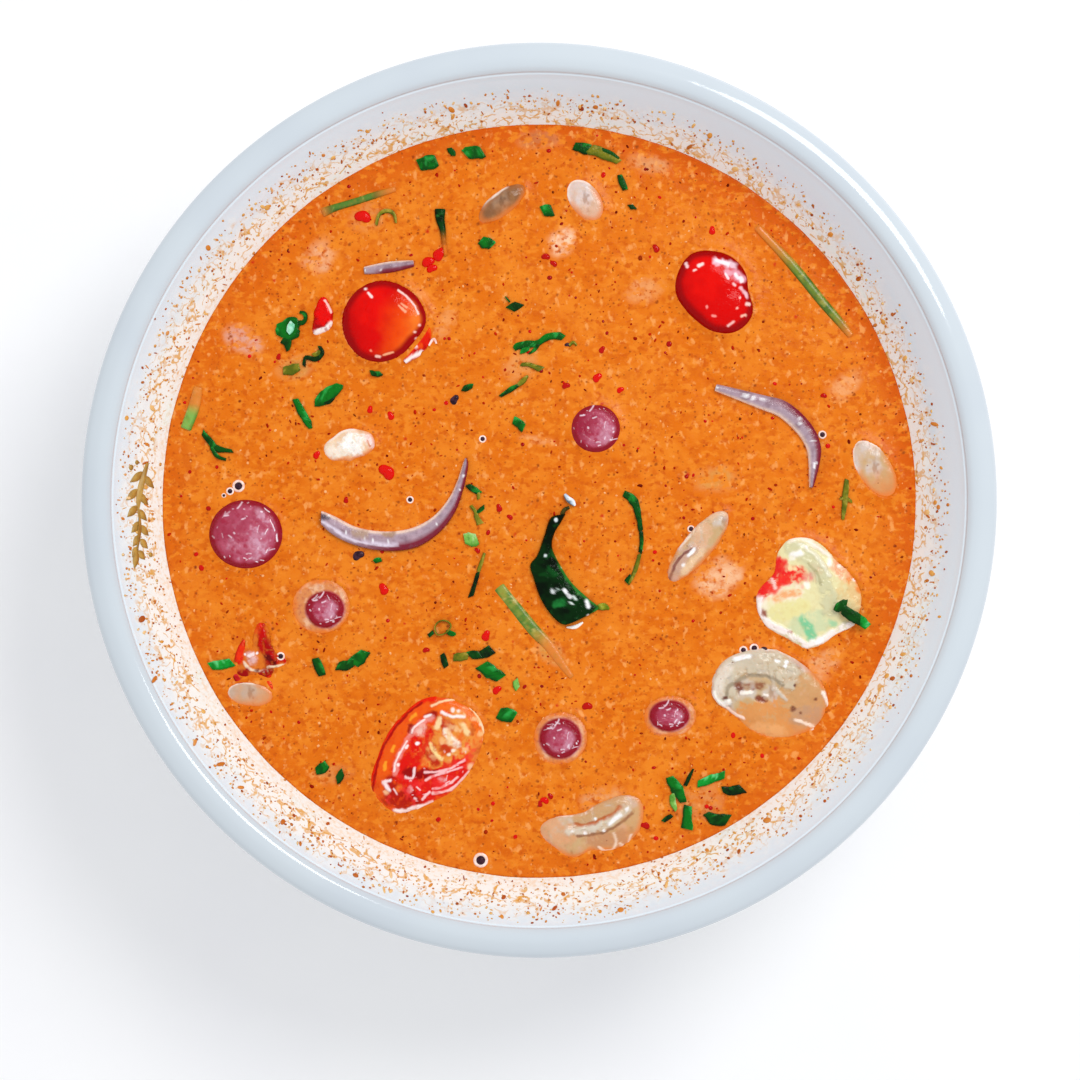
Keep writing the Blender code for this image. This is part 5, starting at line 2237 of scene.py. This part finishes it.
STALKS: tuple[Ribbon, ...] = (
    Ribbon("stalk_right", """
        46.2 58.2 1.8, 51.9 52.1 2, 55.8 47.6 2.2, 59.9 42.5 2.1, 63.8 38 1.9, 66.2 35.1 1.6
    """, 1.8, -0.35, STALK, "#6E8420", "#3E6412", "#A8A04A", sunk=(0.15, 0.1)),
    Ribbon("stalk_left", """
        -46 61.2 2.2, -43.2 62.3 1.6, -38.6 63.7 1.5, -34.6 65 1.5, -30.5 66.2 1.2
    """, 1.6, -0.25, STALK, "#4E7A1E", "#2A5A10", "#8FA24A", sunk=(0.05, 0.15)),
    Ribbon("stalk_pale", """
        -8.6 -18.1 3, -5.2 -22.4 3, -1.1 -27.4 3, 2 -30.6 2.8, 5.1 -34.9 2.2, 7 -37.4 1.4
    """, 2.2, -0.75, STALK, "#8C9430", "#3A7216", "#C0B060", sunk=(0.0, 0.45)),
    Ribbon("stalk_edge", """
        -75 15.3 2.4, -73.2 20.1 2.5, -72.3 24.2 2
    """, 1.8, -0.2, STALK, "#7CB04A", "#4E8A28", "#C0DC8A", sunk=(0.0, 0.5)),
)
DARK_END = Ribbon("stalk_dark_end", """
    -21 62 2.4, -21 59.9 2, -20.5 57.7 1.4, -20.1 54.5 1, -19.8 52 .8
""", 1.6, 0.0, LEAF, "#0E3A10", "#041204", "#2E7A30", sunk=(0.0, 0.3))
LIME_LEAF = Leaf(
    "lime_leaf", "", 2.4, 0.3, LEAF, "#032606", "#010A01", "#0A4414", steps=150, sides=96, edges="""
        5.6 -2.8 4.7 -2.8, 4.6 -4.6 2.4 -3.6, 3.2 -7 1 -7.5, 2.8 -10 -.4 -11.4, 4.6 -13.8 -1.9 -13.6,
        7 -17.4 -1.2 -16.4, 10.4 -20.6 .2 -20.5, 12.6 -22.6 2.4 -24, 10.8 -24 4.4 -25.9, 8 -25.4 5.6 -26.3
    """,
)

SKIN_BITS: tuple[Ribbon, ...] = tuple(
    Ribbon(name, line, thick, lift, finish, *colours.split(), ragged=ragged, sides=sides)
    for name, line, thick, lift, finish, colours, ragged, sides in (
        ("flap", "-23.6 37.6 .8, -24 34.6 2.2, -25.8 32.2 2.6, -28.6 29.6 1.2", 0.9, 0.1, TOMATO,
         "#DE1A04 #F05408 #B00400", 0.3, 24),
        (
            "flap_tip", "-23.4 33 .5, -22.4 34.4 .6, -21.8 33.4 .4", 0.6, 0.1, TOMATO,
            "#FFE4DC #FFB090 #FFFFFF", 0, 20,
        ),
        ("peel_top", "-59.2 -25.8 .6, -58.6 -28.6 1.7, -58.9 -31.4 1.4", 1.0, 0.2, CHILLI,
         "#DE0A04 #A00002 #FF5040", 0.3, 20),
        ("peel_side", "-62.6 -29.4 .5, -63.4 -32 1.8, -63.8 -34.2 1.6", 1.0, 0.2, CHILLI,
         "#EC3008 #C41002 #FF7040", 0.3, 20),
        ("peel_low", "-58 -37.4 1.4, -57.2 -38.8 1.3, -56.6 -40.2 .7", 0.8, 0.1, CHILLI,
         "#EE3604 #C81804 #FF7040", 0.3, 20),
        ("peel_left", "-64.6 -36.8 1, -63.4 -38 2.6, -62 -38.4 1.6", 0.9, 0.1, CHILLI,
         "#AE0004 #7A0002 #E03030", 0.4, 20),
    )
)
# painted highlights: the bluish-white curl and the pale crescent at the leaf's lower edge; the curl's foot
# and the tip keep the leaf's own colours
LEAF_SHINE: tuple[Ribbon, ...] = tuple(
    Ribbon(name, line, thick, lift, LEAF, *colours.split())
    for name, line, thick, lift, colours in (
        ("curl", "5.4 1.5 .6, 6.1 .5 1.2, 7 -.2 1.3, 7.6 -1 .5", 0.9, 0.5, "#C8D8E8 #5A6A78 #FFFFFF"),
        ("curl_foot", "4.9 -3 .9, 5.3 -1.9 .9, 6.4 -1.3 .7", 0.8, 0.3, "#4A4416 #2A2A0A #8A8040"),
        ("leaf_edge_highlight", "5.8 -26.8 .3, 7.7 -26.7 .9, 9.3 -25.7 .4", 0.5, 0.1, "#FFF8F4 #FFD8B8 #FFFFFF"),
        ("tip", "12.4 -22.5 1.2, 13.8 -22.4 1.6, 14.9 -22.9 .4", 0.7, 0.1, "#7E8A18 #4E6A0A #A8A838"),
    )
)

# The greens' colours: body, dark, which Ribbon also lays along each piece's right edge as painted shade, and
# light, a painted highlight on the faces turned up.
SHADES = {
    "black": ("#062A06", "#010A01", "#125A18"),
    "dark": ("#064A0A", "#022402", "#1E8A2C"),
    "mid": ("#067016", "#033A08", "#2CA848"),
    "bright": ("#0E9A30", "#066A14", "#6ADC88"),
    "olive": ("#7E7A18", "#4E5A0A", "#AC9838"),
    "pale": ("#7CB850", "#4C8A24", "#B4DC90"),
    # painted highlight: a pale patch on one herb leaf
    "mint": ("#B4ECD0", "#6CD0A0", "#FFFFFF"),
}


def green(index: int, line: str, look: str, **more: object) -> Ribbon:
    """A small piece of spring onion or coriander in one of a few shades of green, cut at its own slant."""
    slant = (index * 37 % 11 - 5) / 7 or 0.2
    settings = {"thickness": 0.7, "lift": 0.2, "slant": slant, "ragged": 0.25, "squareness": 0.5, **more}
    body, dark, light = SHADES[look]
    return Ribbon(f"green_{index}", line, body=body, dark=dark, light=light, **settings)


# Cut herbs: a shade, maybe a height above the soup, then X, Y and the width at each point. The row in the
# pale highlight shade is a painted highlight on a leaf.
GREENS = """
dark: -6.3 40.7 1.7, -5.2 41.3 1.9, -4.2 42 1.7
dark: -6.2 42.2 0.5, -7.2 43.4 0.3
mid: -5.3 32.2 0.9, -4.6 33 1.6, -2.7 33.2 1.7, -0.3 33.6 1.2, 1.7 34.8 1.5, 3.6 35.1 1.7, 5.2 34.6 1.3
dark: -0.2 33.4 1, -1 32.1 0.8, -2.2 31.2 0.3
olive: 6.4 33 0.7, 7.2 33.7 0.6, 8 33 0.4
olive: -3.9 29 0.7, -2 28.9 1, 0.5 27.9 1.4
dark: -8.3 22.2 0.6, -6.2 23.6 1.1, -4.5 24.6 0.8
olive: -4.5 24.6 0.9, -3.4 25.5 1.1, -2.4 26.6 0.6
dark: -16.3 23.9 1.1, -15.1 24.1 1.3, -14 24.5 0.8
mid: -5.5 17.2 1.7, -4.3 16.4 2.1, -3.2 15.5 1.9
mid: 27.6 -58.5 1.6, 29.2 -61 2.7, 30.6 -63.9 1.4
pale: 28.2 -62 1.3, 28.4 -63.8 1.4, 29.1 -65.6 0.7
black: 32.7 -56.8 0.4, 31.8 -58.6 0.8, 31 -60.4 0.9
bright: 33.6 -60 1.5, 36.4 -59 1.9, 39.4 -58 1.6
black: 38.8 -61.2 1.2, 40.6 -61.5 1.9, 43.2 -60.9 2.1
mid: 31.6 -64.6 1.9, 31.5 -67 2, 31.4 -69.6 2.7
dark: 35.4 -66.2 1.2, 37.6 -67.4 2.8, 40.2 -67.6 2.6
black: 26.3 -68 0.9, 27.2 -67.2 1.1, 28.2 -66.6 0.7
dark: -22.4 -27.7 0.8, -23.5 -28.6 0.9
mid: -19.4 -27.3 0.5, -18.6 -28.1 1.5, -17.8 -28.5 0.5
black: -20.6 -32.4 1.1, -20.2 -33.7 1.4, -19.7 -35.2 1.2
olive: -18.2 -33.3 1.5, -16.6 -33 1.9, -15 -32.9 1.3
dark: -14.9 -32.8 1.5, -13.6 -32.6 1.9, -12.4 -32.5 1.8
black: -12.5 -32.5 1.7, -11.2 -32.2 2.2, -9.9 -31.4 2.3
mid: -12.3 -34.7 2.6, -10.2 -36.2 2.9, -8 -37.6 2.5
pale: -5.1 -37.9 1.2, -4.9 -38.8 1.5, -4.5 -39.8 1.1
mid: -8.6 -44.8 2.4, -6.9 -45.3 3.3, -5.2 -45.9 2.4
dark: -15.2 3.5 1, -14 2.6 1.5, -12.6 1.6 1.2
olive: -12.9 1.9 0.9, -12.8 0.4 0.6
olive: -14.5 -0.9 0.7, -13.5 -2.3 0.8, -13.2 -3.4 1.1, -12.5 -4.9 1.5
dark: -11.6 -1.2 0.8, -12.5 -1.9 0.9, -13.4 -2.4 0.5
pale: -15.9 -8 2.3, -14.5 -8.1 3.1, -13.1 -8 2.3
olive: -11.6 -11 0.6, -12.3 -13.2 0.8, -12.9 -15 0.8
black: -12.9 -15 0.8, -13.6 -17.4 0.9, -14.5 -20.3 1
mid: -25.6 71.2 2.6, -23.6 71.8 3.4, -21.7 72.3 2.6
dark: -19.1 74.9 1, -18.5 74 1.3, -18.2 73.2 0.8
mid: -15.8 73.6 2.2, -13.8 74 2.8, -11.9 74.1 2.2
dark: 7.4 75.4 1.6, 9 75 2.4, 10.8 74.6 2.2
olive: 10.6 74.8 2.4, 13.6 73.6 2.2, 17 71.9 1.2
dark: 13.2 74.6 0.8, 15.2 73.8 1, 17 72.6 0.6
dark: 17 69.2 0.9, 17.6 67.6 1.5, 18.3 66 1.1
dark: 19.3 62.9 1, 20.1 61.9 1.1
mid: 0.6 61.4 2.4, 1.7 61.6 2.7, 2.9 61.7 2.3
mid: -12.4 55.4 2, -11.1 54.8 2.9, -9.9 54.1 2.1
dark: -35.8 27.2 1, -34.7 27 1.4, -33.5 27.2 1
mid: -54.4 34.6 3, -53.4 36 5.2, -52.2 37.6 3.6, -51 38 1.6
mint 0.6: -53.2 35.6 1, -52.6 36.8 1.7, -52.2 37.8 1.2
dark: -54 35 3, -53.3 33.4 1.8, -53.2 31.9 0.8
dark: -51.4 37.8 1.2, -50.2 37.8 1, -49.5 38.7 0.9, -49.8 39.8 0.9, -50.8 40.1 0.6
black: -49.9 28.6 0.7, -49.5 30.4 0.9, -47.4 30.1 1, -46.1 31.4 1, -46.6 32.9 0.7
olive: -48 30.9 0.8, -47.1 31.3 1.2, -46.6 32 0.7
olive: -54.3 27.6 1.6, -52.5 27.9 2.2, -50.8 28.5 1.4
mid: -47.6 20.9 1.4, -45.6 22.2 3.2, -43.2 23.4 2.6, -41.6 24.2 0.8
black: -46 21 1, -44.6 21.2 1.2, -43.6 22 0.6
mid: -51.7 21.7 1.2, -50.4 19 1.7, -49.2 16.8 1.6, -48.4 15.4 0.8
dark: -71.4 14.6 1.1, -69.8 12.6 1.4, -68.2 11.2 1.3, -65 10.6 0.7
dark: -69.6 11.6 0.8, -68.4 9.6 0.9, -66.4 8.8 0.6
olive: -34.6 58.6 0.6, -33.9 60.8 0.8, -32.2 61.6 0.9, -30.8 60.8 0.8, -30.4 59 0.5
bright: -69.8 -35.1 1.8, -67.4 -34.7 2.2, -65 -34.2 1.9
dark: -47.5 -33.3 1.4, -46.8 -35 2, -45.9 -37 1.5
dark: -42.9 -35 1.8, -40.8 -34.8 2.2, -39.2 -34.2 1.8
mid: -39.6 -34.6 2.6, -38.2 -33.4 2.9, -36.8 -31.8 2
mid: -47.4 -57.2 1.6, -46.1 -56.7 2.2, -45 -55.7 1.8
dark: -43 -59.2 1.4, -42.3 -58.4 1.9, -41.6 -57.4 1.3
mid: -35 -12.9 0.9, -34.2 -12.5 1.2, -33.4 -12.4 0.8
olive: 65.3 4.6 0.9, 65 2 1.3, 64.8 -0.6 1.2, 64.4 -3.9 0.7
olive: 66.4 -0.2 0.5, 65 0.6 0.9, 63.8 0.4 0.4
dark: 17.9 1.6 1.4, 19.8 0.4 2, 20.8 -1.8 1.4, 21.6 -6.3 1
dark: 21.6 -6.3 0.9, 21.7 -8.6 0.9, 21.4 -11 0.9
olive: 21.3 -11.2 0.8, 20.4 -14.6 0.9, 19 -17.6 0.5
dark: 19.6 -15.8 1, 18.6 -17.4 1.5
dark 1.9: 62.4 -22.4 1.2, 63.6 -22.2 2.3, 65 -21.8 2
dark 2: 63.9 -22.8 2, 65.6 -23.9 2.4, 67.8 -25.2 2.2
bright 1.4: 67 -24.4 1.6, 68.3 -25.5 2.1, 69.6 -26.6 1.8
bright: -4 31.7 0.9, -3 32.1 1.4, -2 32.4 0.8
"""
ONION_RING = green(
    99, "-22.1 -26.6 .32, -21 -25.4 .32, -19.4 -25.5 .36, -18.7 -26.6 .4, -19.9 -28 .32, -21.6 -28.3 .32",
    "olive", closed=True, thickness=1.2, lift=0.35, sides=10,
)

# Drops of oil: X, Y, radius and which of two tones.
DOT_PLACES: tuple[tuple[float, float, float, int], ...] = (
    (12.3, 26.2, 0.95, 1), (5.7, 24.5, 0.75, 0), (-37.4, 60.4, 1.5, 1), (-32.3, 6.2, 1.6, 1),
    (-31.5, 18.1, 0.8, 1), (-35.9, 19.4, 0.7, 1), (-47.2, 9.8, 0.8, 1), (-23.6, 50.8, 1.2, 1),
    (1.4, 51.9, 0.8, 0), (3.1, 50.4, 0.7, 0), (24.8, 53.6, 0.8, 0), (36.7, 57.4, 0.8, 1),
    (13.3, 32.1, 0.7, 0), (17.2, 23.6, 0.7, 1), (10.2, -43.5, 0.95, 0), (1.2, -63.5, 0.8, 1),
    (2.4, -62.6, 0.6, 0), (0.2, -64.3, 0.6, 0), (-11.3, -28.6, 1.0, 1), (-9.0, -40.1, 0.9, 1),
    (-24.0, -31.6, 0.65, 0), (22.5, -68.8, 0.85, 0), (-13.1, -10.5, 0.6, 0), (-8.5, -1.5, 0.75, 0),
    (-55.3, 30.6, 0.6, 0), (-21.2, 52.4, 1.4, 1), (-22.8, 49.4, 1.0, 1), (60.4, 22.4, 0.6, 0),
    (-6.2, -3.4, 0.6, 0), (-33.0, -18.7, 1.1, 1), (-41.0, 0.2, 0.6, 0),
)
BLACK_PLACES = ((-18.0, 21.5, 0.95), (-38.4, -11.5, 1.1), (6.0, 33.2, 0.5), (47.8, -31.4, 0.6))
BUBBLES = tuple(Bubble(*row) for row in (
    ((-12.0, 13.2), 0.8), ((-63.8, 3.2), 1.35), ((-65.6, 2.1), 0.85), ((-66.9, 1.2), 0.5),
    ((-12.4, -76.2), 1.6), ((-27.4, 0.3), 0.8), ((60.1, 14.1), 0.9), ((43.3, -31.6), 0.9),
    ((45.6, -31.2), 1.0), ((-54.8, -32.9), 0.9), ((32.2, -5.9), 0.8),
))
SUNKEN = tuple(Sunken(*row) for row in (
    ((-46.6, 51.9), 4.6, 3.4, 60, "#F2BF98", 0.75), ((-62.9, 34.2), 4.6, 3.2, -30, "#D9A49C", 0.8),
    ((4.8, 55.1), 3.8, 3.2, 20, "#FAD3B0", 0.9), ((65.0, 24.7), 4.4, 2.8, 40, "#F4AE72", 0.7),
    ((22.5, 44.9), 4.4, 3.0, 30, "#F2AC6C", 0.6), ((-27.4, 42.7), 3.0, 2.0, 10, "#F6A868", 0.5),
    ((0.2, 76.7), 5.6, 2.0, 0, "#A8481A", 0.7), ((23.5, 71.4), 4.8, 2.2, -15, "#DDA06A", 0.7),
    ((37.3, 4.5), 5.6, 3.2, 10, "#C8922E", 0.65), ((-51.4, 28.3), 4.4, 2.6, 15, "#B98A2A", 0.6),
    ((38.6, -16.0), 6.2, 4.2, 20, "#F3C49A", 0.85), ((-44.0, -57.8), 4.6, 2.6, 10, "#D08A2A", 0.45),
    ((-20.0, 38.0), 4.0, 2.0, 60, "#F5A35C", 0.5), ((2.4, -32.0), 4.2, 2.2, -55, "#C49A3A", 0.7),
    ((12.8, -63.0), 5.0, 2.6, 20, "#DDA878", 0.6), ((-4.0, 29.0), 4.0, 4.2, 60, "#D9924E", 0.5),
    ((0.0, 12.9), 4.6, 1.1, -8, "#F8BC84", 0.55), ((33.6, -64.0), 6.0, 4.0, 20, "#D99048", 0.55),
    ((-36.6, 60.2), 4.8, 3.0, 20, "#D88A3A", 0.45), ((60.5, -34.5), 5.0, 3.4, 40, "#EBBE92", 0.6),
))


@dataclass(frozen=True)
class Garnish:
    """All the small things on the soup that are not CAD nodes."""

    soup: Soup

    def level(self, x: float, y: float) -> float:
        """The soup's surface at one place."""
        return float(self.soup.height(np.array([x]), np.array([y]))[0])

    def greens(self) -> Piece:
        """The pieces of spring onion and herb, as one piece."""
        made = []
        for index, row in enumerate(GREENS.strip().splitlines()):
            words, line = row.split(":")
            look, *above = words.split()
            middle = np.mean(points(line), axis=0)
            level = self.level(*middle[:2]) + sum(map(float, above))
            made.append(green(index, line, look, level=level).build())
        made.append(ONION_RING.build())
        return joined("herb_pieces", made)

    def dots(self) -> list[Piece]:
        """The larger drops of chilli oil and the black beads, each kind as one piece."""
        made = {OIL: [], DARK_BEAD_AND_REFLECTION: []}
        places = [(*place, OIL) for place in DOT_PLACES] + [(*place, 0, DARK_BEAD_AND_REFLECTION) for place in BLACK_PLACES]
        turn = np.arange(20) * math.tau / 20
        for index, (x, y, size, tone, finish) in enumerate(places):
            lump = 1 + 0.22 * np.sin(turn * 2 + index) + 0.1 * np.sin(turn * 3 + 2 * index)
            made[finish].append(bead(
                f"dot_{index}", (x, y, self.level(x, y)), size * lump, 0.35 * size, 6, finish,
                0.15 + 0.35 * tone,
            ))
        return [joined("chilli_oil_drops", made[OIL]), joined("black_beads", made[DARK_BEAD_AND_REFLECTION])]

    def spices(self) -> list[Piece]:
        """The fine scatters over the open surface."""
        kinds = (
            Scatter(
                "chilli_grains", SPICE, Grain.FLAKE, 11.0, 0.13, 0.42, 21, (1.0, 0.6, 0.35), 0.4, tilt=18,
            ),
            Scatter(
                "chilli_flakes", SPICE, Grain.FLAKE, 1.3, 0.30, 0.66, 27, (1.0, 0.55, 0.22), 0.4, tilt=14,
            ),
            Scatter("oil_beads", OIL, Grain.DROP, 1.6, 0.22, 0.62, 33, (1.0, 0.85, 0.35), 0.2),
            Scatter("fat_beads", FAT, Grain.DROP, 5.0, 0.12, 0.34, 39, (1.0, 0.8, 0.3), 0.3),
        )
        return [kind.strewn(self.soup.ground(f"{kind.name}_ground", kind.seed)) for kind in kinds]


# The studio.


@dataclass(frozen=True)
class Studio:
    """A plain white table, soft light from the upper right and a camera straight above."""

    table_half: float = 700.0
    key_place: tuple[float, float, float] = (0.32, 0.35, 0.76)
    key_size: float = 0.36
    key_power: float = 2.75
    sky: str = "#FBFCFF"
    sky_strength: float = 0.865
    camera_place: tuple[float, float, float] = (0.000176, -0.00825, 0.630)
    lens: float = 90.0

    def build(self) -> None:
        """Make the table, the lights, the sky and the camera."""
        corners = np.array([(*(self.table_half * side for side in sides), -0.02) for sides in (
            (-1, -1), (1, -1), (1, 1), (-1, 1),
        )])
        floor = new_piece("table", corners, [(0, 1, 2, 3)], TABLE)
        lamp = bpy.data.lights.new("key_light", "AREA")
        lamp.shape, lamp.size, lamp.energy = "DISK", self.key_size, self.key_power
        light = placed("key_light", lamp)
        light.location = self.key_place
        aim = np.array((0.0, 0.0, 0.05)) - np.array(self.key_place)
        light.rotation_euler = (math.acos(-aim[2] / np.linalg.norm(aim)), 0.0, math.atan2(-aim[0], aim[1]))
        scene = bpy.context.scene
        world = bpy.data.worlds.new("soft_sky")
        world.use_nodes = True
        sky = world.node_tree.nodes["Background"]
        sky.inputs["Color"].default_value = rgba(self.sky)
        sky.inputs["Strength"].default_value = self.sky_strength
        scene.world = world
        scene.view_settings.view_transform = "Standard"
        view = bpy.data.cameras.new("camera")
        view.lens, view.sensor_width, view.clip_start = self.lens, 36.0, 0.01
        scene.camera = placed("camera", view)
        scene.camera.location = self.camera_place


def ride(pieces: list[Piece]) -> None:
    """Put the pieces on the object's one body and report them.

    Args:
        pieces: The finished pieces.
    """
    for piece in pieces:
        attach(piece, "root")
        LOG.info("%s: %d faces", piece.name, len(piece.data.polygons))


def main() -> None:
    """Build every piece, then the studio."""
    logging.basicConfig(level=logging.INFO, format="%(name)s: %(message)s")
    bowl = Bowl()
    shell = bowl.build()
    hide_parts("bowl")
    ride([shell, Sprig(bowl).build(), *Splashes(bowl).build()])
    soup = Soup(bowl, list(SLICES), SUNKEN)
    ride([soup.build()])
    ride([piece.build() for piece in SLICES])
    ride([strip.stand_for_cad("onion") for strip in ONIONS])
    ride([stalk.stand_for_cad("stalk") for stalk in STALKS])
    ride([DARK_END.stand_for_cad("leaf"), LIME_LEAF.stand_for_cad("leaf")])
    ride([joined("skin_bits", [bit.build() for bit in SKIN_BITS])])
    ride([joined("leaf_shine", [bit.build() for bit in LEAF_SHINE])])
    garnish = Garnish(soup)
    ride([garnish.greens(), *garnish.dots(), *garnish.spices()])
    ride(Bubbles(soup, BUBBLES).build())
    Studio().build()


if __name__ == "__main__":
    main()
